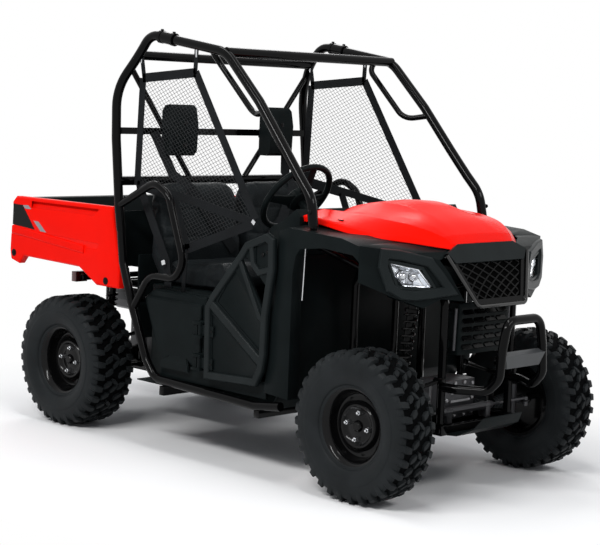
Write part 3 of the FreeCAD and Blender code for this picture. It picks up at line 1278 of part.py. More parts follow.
def bed_tub():
    """Tub with floor ribs, rails and pivot ears, and the tailgate on its pins."""
    tub_share = [(-4.15, 7.76), (3.38, 10.3)]
    rail_share = [(-3.6, 2.05, bed_rail_z_share), (3.38, 2.35, 7.78)]
    ear_share = [(-2.6, 2.1, 6.85), (-2.2, 2.3, 7.4)]
    ribs_share = [-3.2, -1.6, 0, 1.6]
    rib_width_share, rib_rise_share = 0.4, 0.1
    pin_reach_share = 2.6
    gate_share = [(-4.06, 7.88), (-3.88, 7.88), (-3.88, 10.35), (-4.06, 10.4)]
    panel_share = [(-4.2, 8.3), (-4.0, 8.3), (-4.0, 9.9), (-4.2, 9.9)]
    panel_width_share = 0.75
    wall = size("panel_wall")
    half_width = half_width_steps_share * across
    inner = half_width - size("panel_depth") - gap
    (back, low_z), (front, high_z) = tub_share
    low = V(at(back, 0, 0).x, -inner, low_z * up)
    high = V(at(front, 0, 0).x, inner, high_z * up)
    inner_box = box(low + V(-wall, wall, wall), high + V(-wall, -wall, size("overrun")), "Tub_inner")
    pieces = [cut(box(low, high, "Tub_outer"), [inner_box], "Tub_shell")]
    for side, word in SIDES:
        pieces.append(block_at(rail_share, side, "Bed_rail"))
        pieces.append(block_at(ear_share, side, "Bed_ear"))
    for x in ribs_share:
        foot = at(x, 0, low_z) - V(0, inner, 0)
        pieces.append(box(foot, foot + V(rib_width_share * station, 2 * inner, wall + rib_rise_share * up), "Rib"))
    x, z = bed_pivot_share
    pin_bore = bore(at(x, -pin_reach_share, z), at(x, pin_reach_share, z), "Sizes.pivot_pin + 2 * Sizes.fit_gap")
    x, z = gate_pivot_share
    reach = V(0, half_width, 0)
    gate_bore = bore(at(x, 0, z) - reach, at(x, 0, z) + reach, "Sizes.gate_pin + 2 * Sizes.fit_gap")
    keep(cut(fuse(pieces, "Tub_frame"), [pin_bore, gate_bore], "Tub"), "bed_tub")
    width = 2 * (inner - wall - size("swing_gap"))
    gate = slab(gate_share, PLANE_SIDE, width, 0, "Gate")
    recess = slab(panel_share, PLANE_SIDE, width * panel_width_share, 0, "Gate_recess")
    reach = V(0, inner - gap, 0)
    pin = rod(at(x, 0, z) - reach, at(x, 0, z) + reach, "Sizes.gate_pin", "Gate_pin")
    keep(fuse([cut(gate, [recess], "Gate_panel"), pin], "Tailgate"), "tailgate")


rear = rear_cage()
front = front_cage(rear)
guards = side_guards(rear)
hood_piece = hood()
frame = frames(guards + [rear, front])
skid_plate()
floor_piece = floor_pan()
seat_base()
seats()
headrests()
dash_piece = dash(hood_piece)
steering(dash_piece, floor_piece)
fender_pair = fenders(guards + [hood_piece, front, frame, dash_piece, floor_piece])
cowl_piece = front_cowl([hood_piece, fender_pair, frame])
grille([hood_piece, cowl_piece, frame])
panels = side_panels(guards + [frame])
nets([rear, front, panels])
doors()
radiator([frame])
bumper_piece = bumper(frame)
wheels()
knuckles()
rack_body = rack(frame)
front_piece, front_seats = front_arms([frame, bumper_piece])
rear_piece, rear_seats = rear_arms(frame)
shocks(front_seats, shock_top_front_share, [frame, front_piece], "front_shocks")
shocks(rear_seats, shock_top_rear_share, [frame, rear_piece], "rear_shocks")
drive_train(frame, rack_body, rear_piece)
tail_lamps(frame)
bed_panels()
bed_tub()

doc.recompute()

for thing in doc.Objects:
    if "Invalid" in thing.State or "Error" in thing.State:
        raise RuntimeError(f"{thing.Name} {thing.Label} did not build: {thing.State}")
for node in nodes:
    if node.Shape.isNull() or not node.Shape.isValid():
        raise RuntimeError(f"{node.Label} has no valid shape")
for node in nodes:
    node.Shape.exportStep(os.path.join("parts", node.Label + ".step"))
    bounds = node.Shape.BoundBox
    print(f"{node.Label:22s} {len(node.Shape.Solids):2d} solids", bounds)
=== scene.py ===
import json
from math import cos, hypot, pi, radians, sin, tan

import bmesh
import bpy
from mathutils import Matrix, Vector

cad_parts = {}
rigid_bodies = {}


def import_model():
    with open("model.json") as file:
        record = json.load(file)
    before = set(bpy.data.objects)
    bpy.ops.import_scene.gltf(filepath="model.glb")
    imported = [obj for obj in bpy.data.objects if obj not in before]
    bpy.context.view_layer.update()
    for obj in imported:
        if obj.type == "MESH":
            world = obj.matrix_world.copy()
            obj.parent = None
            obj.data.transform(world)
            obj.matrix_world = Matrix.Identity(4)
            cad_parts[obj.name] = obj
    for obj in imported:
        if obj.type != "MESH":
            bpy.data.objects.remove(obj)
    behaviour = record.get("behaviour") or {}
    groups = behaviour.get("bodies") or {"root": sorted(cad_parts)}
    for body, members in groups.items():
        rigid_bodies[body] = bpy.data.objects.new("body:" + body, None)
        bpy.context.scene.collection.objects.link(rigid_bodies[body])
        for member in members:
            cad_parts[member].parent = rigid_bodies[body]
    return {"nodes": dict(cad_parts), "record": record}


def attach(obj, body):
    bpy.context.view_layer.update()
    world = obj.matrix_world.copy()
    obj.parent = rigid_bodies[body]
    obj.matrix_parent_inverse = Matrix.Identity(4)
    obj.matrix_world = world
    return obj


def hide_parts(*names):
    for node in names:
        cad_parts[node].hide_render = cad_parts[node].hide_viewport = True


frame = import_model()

scene = bpy.context.scene
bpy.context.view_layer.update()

# The body lines share the grid of the part: stations ahead of the rear axle, steps across and up.
REAR_AXLE = -0.8995
STEP = 0.1
FRONT_AXLE = REAR_AXLE + 1.854
WHEEL_Z = 0.304
SIDES = ((-1, "right"), (1, "left"))
BOTH = (-1, 1)
UP = Vector((0, 0, 1))


def at(x, y, z):
    return Vector((REAR_AXLE + x * STEP, y * STEP, z * STEP))


def mirrored(points, side):
    return [at(x, side * y, z) for x, y, z in points]


def placed(points):
    return [at(*p) for p in points]


def on_side(points, side, y):
    """The (x, z) points at the distance y from the centre plane."""
    return [at(x, side * y, z) for x, z in points]


def across(x, y, z):
    return [at(x, -y, z), at(x, y, z)]


def by_left(side, node):
    """The node that a pair of pieces replaces is named by the left one alone."""
    return [node] if side > 0 else []


# Node trees of materials, sky and shading

def fill(tree, node, inputs):
    """Sets inputs of a node: a socket is wired to the input, anything else is its value."""
    for name, value in inputs.items():
        if isinstance(value, bpy.types.NodeSocket):
            tree.links.new(value, node.inputs[name])
        else:
            node.inputs[name].default_value = value


def add(tree, kind, inputs=None, **settings):
    node = tree.nodes.new(kind)
    for name, value in settings.items():
        setattr(node, name, value)
    fill(tree, node, inputs or {})
    return node


def ramp(tree, factor, low, high):
    """Colour that runs between two (position, colour) stops."""
    node = add(tree, "ShaderNodeValToRGB", {"Fac": factor})
    for stop, (position, colour) in zip(node.color_ramp.elements, (low, high)):
        stop.position = position
        stop.color = (*colour, 1)
    return node.outputs["Color"]


def seen_ray(tree):
    """Output that is 1 for rays from the camera, from glossy surfaces and through glass."""
    total = 0.0
    path = add(tree, "ShaderNodeLightPath").outputs
    for kind in ("Is Camera Ray", "Is Glossy Ray", "Is Transmission Ray"):
        adder = add(tree, "ShaderNodeMath", {0: total, 1: path[kind]}, operation="ADD", use_clamp=True)
        total = adder.outputs[0]
    return total


# Camera, floor and light

CAMERA_PLACE = (5.1345, -5.196, 1.581)
CAMERA_TURN = (134.35, -6.24, 2.24)
CAMERA_LENS = 97.2
SENSOR_WIDTH = 36
CLIP_END = 100
FLOOR_HALF = 40
# Place, aim, size and power of each lamp
LAMPS = {
    "key": ((1.2, -5.2, 5.0), (0, 0, 0.7), (4.5, 0.6), 300),
    "fill": ((5.6, 0.3, 4.6), (0, 0, 0.8), (3, 1.0), 100),
    "top": ((-0.3, -0.8, 6.5), (0, 0, 0.8), (5, 0.7), 120),
    "back": ((-4, 3.6, 5.2), (0, 0, 0.8), (3, 2), 110),
}


def camera():
    """Camera fitted to the photograph, turned by yaw, pitch and roll in degrees."""
    yaw, pitch, roll = [radians(degrees) for degrees in CAMERA_TURN]
    look = Vector((cos(pitch) * cos(yaw), cos(pitch) * sin(yaw), sin(pitch)))
    right = look.cross(UP).normalized()
    top = right.cross(look)
    tilted_right = cos(roll) * right + sin(roll) * top
    tilted_top = -sin(roll) * right + cos(roll) * top
    data = bpy.data.cameras.new("camera")
    data.lens = CAMERA_LENS
    data.sensor_width = SENSOR_WIDTH
    data.clip_end = CLIP_END
    eye = bpy.data.objects.new("camera", data)
    scene.collection.objects.link(eye)
    turn = Matrix((tilted_right, tilted_top, -look)).transposed()
    eye.matrix_world = Matrix.Translation(CAMERA_PLACE) @ turn.to_4x4()
    scene.camera = eye


def floor_paint():
    """Pale paint that turns plain white away from the vehicle."""
    paint = bpy.data.materials.new("floor")
    paint.use_nodes = True
    tree = paint.node_tree
    shader = tree.nodes["Principled BSDF"]
    fill(tree, shader, {"Base Color": (0.94, 0.94, 0.94, 1), "Roughness": 0.7, "Specular IOR Level": 0.1})
    place = add(tree, "ShaderNodeTexCoord").outputs["Object"]
    stretch = add(tree, "ShaderNodeMapping", {"Vector": place, "Scale": (0.4, 0.55, 1)})
    ring = add(tree, "ShaderNodeTexGradient", {"Vector": stretch.outputs["Vector"]},
               gradient_type="SPHERICAL")
    away = ramp(tree, ring.outputs["Fac"], (0.0, (1, 1, 1)), (0.38, (0, 0, 0)))
    both = add(tree, "ShaderNodeMath", {0: away, 1: seen_ray(tree)}, operation="MULTIPLY")
    white = add(tree, "ShaderNodeEmission")
    mix = add(tree, "ShaderNodeMixShader",
              {"Fac": both.outputs[0], 1: shader.outputs[0], 2: white.outputs[0]})
    fill(tree, tree.nodes["Material Output"], {"Surface": mix.outputs[0]})
    return paint


def floor():
    mesh = bpy.data.meshes.new("floor")
    corners = [(x * FLOOR_HALF, y * FLOOR_HALF, 0) for x, y in ((-1, -1), (1, -1), (1, 1), (-1, 1))]
    mesh.from_pydata(corners, [], [(0, 1, 2, 3)])
    ground = bpy.data.objects.new("floor", mesh)
    scene.collection.objects.link(ground)
    mesh.materials.append(floor_paint())


def lamp(name, place, aim, size, power):
    data = bpy.data.lights.new(name, "AREA")
    data.shape = "RECTANGLE"
    data.size, data.size_y = size
    data.energy = power
    light = bpy.data.objects.new(name, data)
    scene.collection.objects.link(light)
    light.location = place
    light.rotation_euler = (Vector(aim) - Vector(place)).to_track_quat("-Z", "Y").to_euler()


def lighting():
    """Area lamps and a dim sky, which seen rays find white."""
    for name, settings in LAMPS.items():
        lamp(name, *settings)
    world = bpy.data.worlds.new("world")
    scene.world = world
    world.use_nodes = True
    tree = world.node_tree
    sky = tree.nodes["Background"]
    fill(tree, sky, {"Color": (0.9, 0.93, 1, 1), "Strength": 0.32})
    white = add(tree, "ShaderNodeBackground", {"Color": (1, 1, 1, 1)})
    mix = add(tree, "ShaderNodeMixShader", {"Fac": seen_ray(tree), 1: sky.outputs[0], 2: white.outputs[0]})
    fill(tree, tree.nodes["World Output"], {"Surface": mix.outputs[0]})
    scene.view_settings.view_transform = "Standard"


# Materials: a base colour with fine variation, and a bump of its own grain

def material(name, colour, rough, metal=0.0, grain=400.0, bump=0.08, vary=0.12, coat=0.0,
             specular=0.5, weave=0):
    result = bpy.data.materials.new(name)
    result.use_nodes = True
    tree = result.node_tree
    place = add(tree, "ShaderNodeTexCoord").outputs["Object"]
    broad = add(tree, "ShaderNodeTexNoise", {"Vector": place, "Scale": 9, "Detail": 4}).outputs["Fac"]
    low = [c * (1 - vary) for c in colour]
    high = [min(1, c * (1 + vary)) for c in colour]
    tint = ramp(tree, broad, (0.3, low), (0.7, high))
    gloss = add(tree, "ShaderNodeMapRange",
                {"Value": broad, "To Min": max(0, rough - 0.05), "To Max": min(1, rough + 0.05)})
    if weave:
        tilt = [radians(degrees) for degrees in (45, 35, 45)]
        turn = add(tree, "ShaderNodeMapping", {"Vector": place, "Rotation": tilt})
        fine = add(tree, "ShaderNodeTexChecker", {"Vector": turn.outputs["Vector"], "Scale": weave})
    else:
        fine = add(tree, "ShaderNodeTexNoise", {"Vector": place, "Scale": grain, "Detail": 3})
    relief = add(tree, "ShaderNodeBump", {"Height": fine.outputs["Fac"], "Strength": bump, "Distance": 0.001})
    fill(tree, tree.nodes["Principled BSDF"],
         {"Base Color": tint, "Roughness": gloss.outputs["Result"], "Normal": relief.outputs["Normal"],
          "Metallic": metal, "Coat Weight": coat, "Coat Roughness": 0.08, "Specular IOR Level": specular})
    return result


MATERIALS = {
    "tyre": material("tyre_rubber", (0.013, 0.0148, 0.0158), 0.45, grain=600, bump=0.3, vary=0.2,
                     specular=0.06),
    "rim_black": material("rim_paint", (0.0025, 0.0025, 0.0027), 0.14, grain=900, bump=0.01, specular=0.15),
    "black_steel": material("powder_coat", (0.0012, 0.0012, 0.0014), 0.12, grain=1200, bump=0.004,
                            specular=0.1),
    "red_plastic": material("red_gloss", (0.84, 0.006, 0.002), 0.25, grain=1500, bump=0.01, vary=0.02,
                            specular=0.028),
    "black_plastic": material("moulded_plastic", (0.0056, 0.0078, 0.0081), 0.34, grain=1800, bump=0.15,
                              vary=0.15, specular=0.032),
    "seat_vinyl": material("seat_vinyl", (0.0085, 0.0105, 0.0115), 0.45, bump=1.0, vary=0.2, specular=0.06,
                           weave=75),
    "lamp_lens": material("lamp_reflector", (0.8, 0.82, 0.85), 0.15, metal=1.0, grain=60, bump=0.1, vary=0.1),
    "cast_aluminium": material("cast_aluminium", (0.05, 0.05, 0.054), 0.45, metal=0.5, grain=500, bump=0.25),
    "spring_steel": material("spring_paint", (0.004, 0.004, 0.004), 0.2, grain=900, bump=0.02, specular=0.15),
    "webbing": material("webbing", (0.009, 0.010, 0.011), 0.75, bump=0.4, vary=0.2, specular=0.08, weave=900),
    "tail_lens": material("tail_lens", (0.12, 0.002, 0.002), 0.15, grain=300, bump=0.05, vary=0.05, coat=0.3),
}
SILVER = material("bright_steel", (0.62, 0.63, 0.65), 0.25, metal=1.0, grain=300, bump=0.03, vary=0.05)
GREY = material("grey_stripe", (0.22, 0.22, 0.23), 0.45, grain=900, bump=0.02, vary=0.04)
BLACK_GLOSS = material("black_gloss", (0.002, 0.002, 0.0022), 0.18, grain=900, bump=0.02, specular=0.09)
STRAND = material("net_strand", (0.02, 0.021, 0.022), 0.6, grain=900, bump=0.1, vary=0.1, specular=0.2)
# Near-black, matt sheet behind the grille mesh: painted shade in the depth of the grille.
GRILLE_SHADE = material("grille_painted_shade", (0.0012, 0.0012, 0.0012), 0.9, grain=900, bump=0.05, specular=0.02)
# Lighter plastic for the raised door ribs, the nose bar and the lamp bezels: a painted highlight where light
# catches their raised edges.
PAINTED_HIGHLIGHT_PLASTIC = material("plastic_with_painted_highlight", (0.0115, 0.0145, 0.015), 0.3, grain=1800, bump=0.1, vary=0.15,
               specular=0.06)
# Very dark rubber on the tread floor between the lugs: painted shade in the grooves.
GROOVE_SHADE = material("tread_groove_painted_shade", (0.0022, 0.0024, 0.0026), 0.8, grain=600, bump=0.3, specular=0.02)
# Dark grey for the bumper plate: black steel with a painted reflection of the sky on its upward face.
PLATE_REFLECTION = material("black_with_painted_reflection", (0.05, 0.053, 0.056), 0.35, grain=900, bump=0.03, specular=0.25)
LACQUER = material("lacquer_black", (0.003, 0.003, 0.003), 0.1, grain=900, bump=0.01, specular=0.55)
CAST = material("bright_cast", (0.3, 0.3, 0.31), 0.42, metal=0.85, grain=260, bump=0.5, vary=0.25)


def clear_cover():
    """Clear moulded lamp cover."""
    result = material("clear_cover", (0.96, 0.97, 0.98), 0.04, grain=200, bump=0.01, vary=0.01)
    tree = result.node_tree
    fill(tree, tree.nodes["Principled BSDF"], {"Transmission Weight": 1.0, "IOR": 1.3})
    return result


# Mesh helpers

def piece(name, bm, slot="black_plastic", body="root", look=None, stands_for=(), sharp=35):
    """Turns built geometry into a piece that rides on a body."""
    mesh = bpy.data.meshes.new(name)
    bmesh.ops.recalc_face_normals(bm, faces=bm.faces)
    bm.to_mesh(mesh)
    bm.free()
    smooth_faces(mesh)
    mesh.set_sharp_from_angle(angle=radians(sharp))
    mesh.materials.append(look or MATERIALS[slot])
    thing = bpy.data.objects.new(name, mesh)
    scene.collection.objects.link(thing)
    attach(thing, body)
    for node in stands_for:
        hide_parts(node)
    return thing


def smooth_faces(mesh):
    mesh.polygons.foreach_set("use_smooth", [True] * len(mesh.polygons))


def subdivided(thing, levels):
    smoother = thing.modifiers.new("smooth", "SUBSURF")
    smoother.levels = smoother.render_levels = levels


def shelled(thing, thickness):
    shell = thing.modifiers.new("thick", "SOLIDIFY")
    shell.thickness = thickness
    shell.offset = -1


def rounded(points, radius, steps=7):
    """Path whose corners are arcs."""
    path = [points[0]]
    for before, corner, after in zip(points, points[1:], points[2:]):
        back, ahead = (before - corner).normalized(), (after - corner).normalized()
        half = back.angle(ahead) / 2
        if half > radians(88):
            path.append(corner)
            continue
        shorter = min((before - corner).length, (after - corner).length)
        reach = min(radius / tan(half), shorter * 0.46)
        bend = reach * tan(half)
        centre = corner + (back + ahead).normalized() * (bend / sin(half))
        start, end = corner + back * reach - centre, corner + ahead * reach - centre
        sweep = start.angle(end)
        axis = start.cross(end).normalized()
        for k in range(steps + 1):
            path.append(centre + Matrix.Rotation(sweep * k / steps, 3, axis) @ start)
    return path + [points[-1]]


def toward(u, v, angle):
    return u * cos(angle) + v * sin(angle)


def circle(centre, u, v, radius, sides):
    return [centre + toward(u, v, 2 * pi * k / sides) * radius for k in range(sides)]


def loft(bm, sections, closed=False, open_start=False):
    """Skin over rings of points, capped at its ends unless it closes on itself."""
    rings = [[bm.verts.new(p) for p in section] for section in sections]
    count = len(rings[0])
    pairs = list(zip(rings, rings[1:]))
    if closed:
        pairs.append((rings[-1], rings[0]))
    for one, other in pairs:
        for k in range(count):
            j = (k + 1) % count
            bm.faces.new((one[k], one[j], other[j], other[k]))
    if closed:
        return
    if not open_start:
        bm.faces.new(rings[0][::-1])
    bm.faces.new(rings[-1])


def pipe(bm, points, radius, bend=0.09, sides=20):
    """Round tube along the points, with arcs at its corners."""
    path = rounded([Vector(p) for p in points], bend)
    ahead = (path[1] - path[0]).normalized()
    u = ahead.orthogonal().normalized()
    sections = []
    for k, point in enumerate(path):
        if k == 0:
            way = path[1] - path[0]
        elif k == len(path) - 1:
            way = path[-1] - path[-2]
        else:
            way = (path[k + 1] - point).normalized() + (point - path[k - 1]).normalized()
        way.normalize()
        u = (u - way * u.dot(way)).normalized()
        sections.append(circle(point, u, way.cross(u), radius, sides))
    loft(bm, sections)


def turned(bm, base, facing, stations, sides):
    """Round solid along a direction, through (distance, radius) stations."""
    way = Vector(facing).normalized()
    u = way.orthogonal().normalized()
    loft(bm, [circle(base + way * s, u, way.cross(u), radius, sides) for s, radius in stations])


def bolt(bm, place, facing, radius, height, sides=6):
    turned(bm, place, facing, ((0, radius), (height * 0.75, radius), (height, radius * 0.8)), sides)


def around(centre, radius, y, angle):
    """Point at a radius and an angle about the Y axis through the centre."""
    return centre + Vector((radius * sin(angle), y, radius * cos(angle)))


def lathe(bm, profile, centre, sides=64):
    """Closed surface of the (radius, y) profile turned about the Y axis through the centre."""
    angles = [2 * pi * k / sides for k in range(sides)]
    loft(bm, [[around(centre, radius, y, a) for a in angles] for radius, y in profile], closed=True)
    bmesh.ops.remove_doubles(bm, verts=bm.verts, dist=1e-6)
    bm.faces.index_update()


def block(bm, low, high):
    """Box between two opposite corners."""
    square = ((low[0], low[1]), (high[0], low[1]), (high[0], high[1]), (low[0], high[1]))
    loft(bm, [[Vector((x, y, z)) for x, y in square] for z in (low[2], high[2])])


def bevelled(bm, width, segments=2, angle=30):
    edges = [e for e in bm.edges if len(e.link_faces) == 2 and e.calc_face_angle() > radians(angle)]
    bmesh.ops.bevel(bm, geom=edges, offset=width, segments=segments, affect="EDGES", clamp_overlap=True)


def thicken(bm, faces, shift):
    """Turns a sheet of faces into a solid by drawing it along a shift."""
    made = bmesh.ops.extrude_face_region(bm, geom=faces)["geom"]
    bmesh.ops.translate(bm, verts=[g for g in made if isinstance(g, bmesh.types.BMVert)], vec=shift)


def plate(bm, outline, thickness):
    """Flat polygon given a thickness along its own normal, centred."""
    verts = [bm.verts.new(p) for p in outline]
    face = bm.faces.new(verts)
    face.normal_update()
    shift = face.normal * thickness / 2
    for v in verts:
        v.co -= shift
    thicken(bm, [face], shift * 2)


def slab(bm, outline, normal, back, front):
    """Solid between two copies of an outline, shifted along the normal."""
    loft(bm, [[p + normal * shift for p in outline] for shift in (back, front)])


def middle_of(points):
    return sum(points, Vector()) / len(points)


def shrunk(points, margin):
    middle = middle_of(points)
    return [p + (middle - p).normalized() * margin for p in points]


def on_face(points, centre, normal):
    return [p - normal * (p - centre).dot(normal) for p in points]


# Raised bars: shares of half the width and of the height, and the depth of the foot in the panel
RIDGE_SECTION = [(1, 0), (0.88, 0.7), (0.7, 1), (-0.7, 1), (-0.88, 0.7), (-1, 0)]
RIDGE_FOOT = 0.002


def ridge(bm, points, width, height, normal, closed=False):
    """Raised bar with sloped sides on a face, along the points."""
    sections = []
    last = len(points) - 1
    normal = normal.normalized()
    foot = normal * RIDGE_FOOT
    for k, point in enumerate(points):
        before = points[k - 1] if k or closed else point
        after = points[(k + 1) % len(points)] if k < last or closed else point
        one, two = (point - before).normalized(), (after - point).normalized()
        wide = (one + two).normalized().cross(normal).normalized()
        stretch = 1.0
        if one.length and two.length:
            stretch = 1 / max(0.5, cos(one.angle(two) / 2))
        wide *= width / 2 * stretch
        section = [point + wide * a + normal * height * b for a, b in RIDGE_SECTION]
        sections.append(section + [point - wide - foot, point + wide - foot])
    loft(bm, sections, closed)


# CAD nodes that stay: welded, softly bevelled and shaded by angle

PANEL_BEVELS = {"front_fender_right": 0.020, "front_fender_left": 0.020, "dash": 0.012, "front_cowl": 0.005}
BEVELS = {"black_plastic": 0.003, "red_plastic": 0.004, "black_steel": 0.0025, "cast_aluminium": 0.003}
OTHER_BEVEL = 0.0015
WELD_DISTANCE = 0.00002


def shading_group():
    """Drops the stored normals and marks the edges over 35 degrees as sharp."""
    group = bpy.data.node_groups.new("shade_by_angle", "GeometryNodeTree")
    for way in ("INPUT", "OUTPUT"):
        group.interface.new_socket("Geometry", in_out=way, socket_type="NodeSocketGeometry")
    start = add(group, "NodeGroupInput")
    plain = add(group, "GeometryNodeRemoveAttribute", {"Geometry": start.outputs[0], "Name": "custom_normal"})
    angle = add(group, "GeometryNodeInputMeshEdgeAngle")
    sharp = add(group, "FunctionNodeCompare", data_type="FLOAT", operation="GREATER_THAN",
                inputs={"A": angle.outputs["Unsigned Angle"], "B": radians(35)})
    shape = plain.outputs["Geometry"]
    for domain, value in (("EDGE", sharp.outputs["Result"]), ("FACE", False)):
        store = add(group, "GeometryNodeStoreNamedAttribute", data_type="BOOLEAN", domain=domain,
                    inputs={"Geometry": shape, "Name": "sharp_" + domain.lower(), "Value": value})
        shape = store.outputs["Geometry"]
    add(group, "NodeGroupOutput", {0: shape})
    return group


def dress_nodes():
    """Gives every CAD node the procedural material of its slot and softened edges."""
    slots = {part["node"]: part["material_slot"] for part in frame["record"]["subparts"]}
    group = shading_group()
    for name, thing in frame["nodes"].items():
        thing.data.materials.clear()
        thing.data.materials.append(MATERIALS[slots[name]])
        weld = thing.modifiers.new("weld", "WELD")
        weld.merge_threshold = WELD_DISTANCE
        soften = thing.modifiers.new("soften", "BEVEL")
        soften.width = PANEL_BEVELS.get(name, BEVELS.get(slots[name], OTHER_BEVEL))
        soften.segments = 2
        soften.limit_method = "ANGLE"
        soften.angle_limit = radians(28)
        shade = thing.modifiers.new("shade", "NODES")
        shade.node_group = group


# Cage, guards and bumper

CAGE_TUBE = 0.021
GUARD_TUBE = 0.019
HIP_TUBE = 0.017
THIN_TUBE = 0.013
B_POST = [(4.13, 6.0, 9.5), (3.94, 6.0, 10.6), (3.62, 6.0, 13.6), (3.44, 5.9, 15.8), (4.36, 5.42, 17.3),
          (5.15, 5.446, 18.218), (6.25, 5.4, 18.05)]
ROOF = [(6.25, 5.4, 18.05), (9.85, 5.25, 17.5), (11.98, 5.25, 15.46), (13.6, 5.3, 13.6), (14.57, 5.35, 12.51),
        (15.3, 5.4, 11.75), (15.52, 5.45, 10.6)]
GRAB = [(8.9, 5.28, 17.64), (8.9, 4.8, 17.1), (11.2, 4.75, 14.9), (12.3, 5.25, 15.1)]
GUARD = [(4.13, 6.0, 9.5), (4.33, 6.0, 8.07), (4.96, 6.0, 6.43), (6.1, 6.0, 3.95), (6.75, 6.0, 3.2),
         (13.08, 6.0, 3.0), (14.6, 6.0, 3.2)]
HIP = [(3.94, 6.0, 10.6), (6.36, 6.0, 11.8), (7.3, 6.0, 11.3), (8.4, 6.0, 8.5), (7.9, 6.0, 7.7),
       (6.2, 6.0, 7.7), (5.1, 6.0, 6.1)]
LOOP = [(19.84, 2.2, 4.45), (20.5, 2.2, 4.45), (21.6, 1.5, 4.45), (22.1, 1.42, 5.0), (22.1, 1.3, 6.2),
        (22.1, 1.05, 7.3)]


def clamp(bm, joint, ahead):
    """Sleeve with two collars and two bolts, where the halves of the cage meet."""
    way = (ahead - joint).normalized()
    for start, end, radius in ((-0.05, 0.05, 0.0262), (-0.047, -0.030, 0.0285), (0.030, 0.047, 0.0285)):
        pipe(bm, [joint + way * start, joint + way * end], radius, sides=24)
    for shift in (-0.038, 0.038):
        bolt(bm, joint + way * shift + UP * 0.026, UP, 0.007, 0.008)


def rear_cage():
    bm = bmesh.new()
    for side in BOTH:
        pipe(bm, mirrored(B_POST, side), CAGE_TUBE, bend=0.35)
        pipe(bm, mirrored([(4.0, 5.6, 16.8), (3.83, 1.7, 11.75)], side), THIN_TUBE)
        clamp(bm, *mirrored(ROOF[:2], side))
    pipe(bm, across(4.36, 5.42, 17.3), CAGE_TUBE)
    pipe(bm, across(3.83, 6.0, 11.7), CAGE_TUBE)
    piece("rear_cage_tubes", bm, "black_steel", stands_for=["cage_rear"])


def headrest_bar():
    bm = bmesh.new()
    block(bm, at(3.62, -5.95, 13.78), at(3.74, 5.95, 14.08))
    for side in BOTH:
        block(bm, at(3.7, side * 2.72, 13.7), at(4.15, side * 3.42, 14.1))
    bevelled(bm, 0.003)
    piece("headrest_bar", bm, "black_steel")


def front_cage():
    bm = bmesh.new()
    for side in BOTH:
        pipe(bm, mirrored(ROOF, side), CAGE_TUBE, bend=0.17)
        pipe(bm, mirrored(GRAB, side), THIN_TUBE)
        bolt(bm, at(15.5, side * 5.66, 11.2), (0, side, 0), 0.009, 0.006)
    pipe(bm, across(9.85, 5.25, 17.5), CAGE_TUBE)
    piece("front_cage_tubes", bm, "black_steel", stands_for=["cage_front"])


def side_guards():
    for side, word in SIDES:
        bm = bmesh.new()
        pipe(bm, mirrored(GUARD, side), GUARD_TUBE)
        pipe(bm, mirrored(HIP, side), HIP_TUBE)
        piece("side_guard_tubes_" + word, bm, "black_steel", stands_for=["side_guard_" + word])


def bumper():
    bm = bmesh.new()
    pipe(bm, mirrored(LOOP, -1) + mirrored(LOOP[::-1], 1), GUARD_TUBE, bend=0.055)
    piece("bumper_loop", bm, "black_steel", stands_for=["front_bumper"])
    bm = bmesh.new()
    section = [(21.95, 1.5, 5.45), (22.05, 1.5, 6.05), (22.29, 1.3, 5.92), (22.18, 1.05, 5.4)]
    loft(bm, [mirrored(section, side) for side in BOTH])
    bevelled(bm, 0.003, 2)
    # The plate is much lighter than the loop: a painted reflection of the sky on its upward face.
    piece("bumper_plate", bm, "black_steel", look=PLATE_REFLECTION)


# Wheels: the x of each axle, and the outer face and the width of its tyres

AXLES = {"front_": (FRONT_AXLE, 0.629, 0.198), "rear_": (REAR_AXLE, 0.635, 0.245)}
CROWN = 0.2915
# Half of the casing, as radius and share of half the width
CASING = [(0.152, 0.70), (0.158, 0.76), (0.166, 0.79), (0.172, 0.87), (0.2, 0.975), (0.228, 1.0),
          (0.232, 0.988), (0.252, 0.975), (0.27, 0.93), (0.282, 0.84), (0.2885, 0.7), (0.291, 0.4)]
# Lugs: radius, share of half the width, height and half length at each station
LUG_COUNT = 32
SHOULDER_LUG = [(0.291, 0.54, 0.0125, 0.012), (0.2905, 0.72, 0.0125, 0.0145), (0.284, 0.86, 0.0115, 0.0135),
                (0.271, 0.945, 0.006, 0.0115)]
MIDDLE_LUG = [(CROWN, 0.17, 0.0125, 0.010), (CROWN, 0.31, 0.0125, 0.014), (0.291, 0.46, 0.0125, 0.009)]
CENTRE_LUG = [(CROWN, -0.13, 0.0125, 0.007), (CROWN, 0, 0.0125, 0.0125), (CROWN, 0.13, 0.0125, 0.007)]


def smooth_profile(points, steps=4):
    """Catmull-Rom curve through the profile's points."""
    result = []
    padded = [points[0]] + list(points) + [points[-1]]
    for corners in zip(padded, padded[1:], padded[2:], padded[3:]):
        for k in range(steps):
            t = k / steps
            result.append(tuple(0.5 * (2 * q + (r - p) * t + (2 * p - 5 * q + 4 * r - s) * t * t
                                       + (3 * q - p - 3 * r + s) * t ** 3) for p, q, r, s in zip(*corners)))
    return result + [points[-1]]


def lug(bm, centre, angle, path, width, skew):
    """Block that follows the casing through the stations of its path."""
    sections = []
    last = len(path) - 1
    for k, (radius, share, height, half) in enumerate(path):
        turn = angle + skew * k / last
        corners = ((-0.003, -1.15), (-0.003, 1.15), (height, 0.85), (height, -0.85))
        sections.append([around(centre, radius + lift, share * width, turn + spread * half / radius)
                         for lift, spread in corners])
    loft(bm, sections)


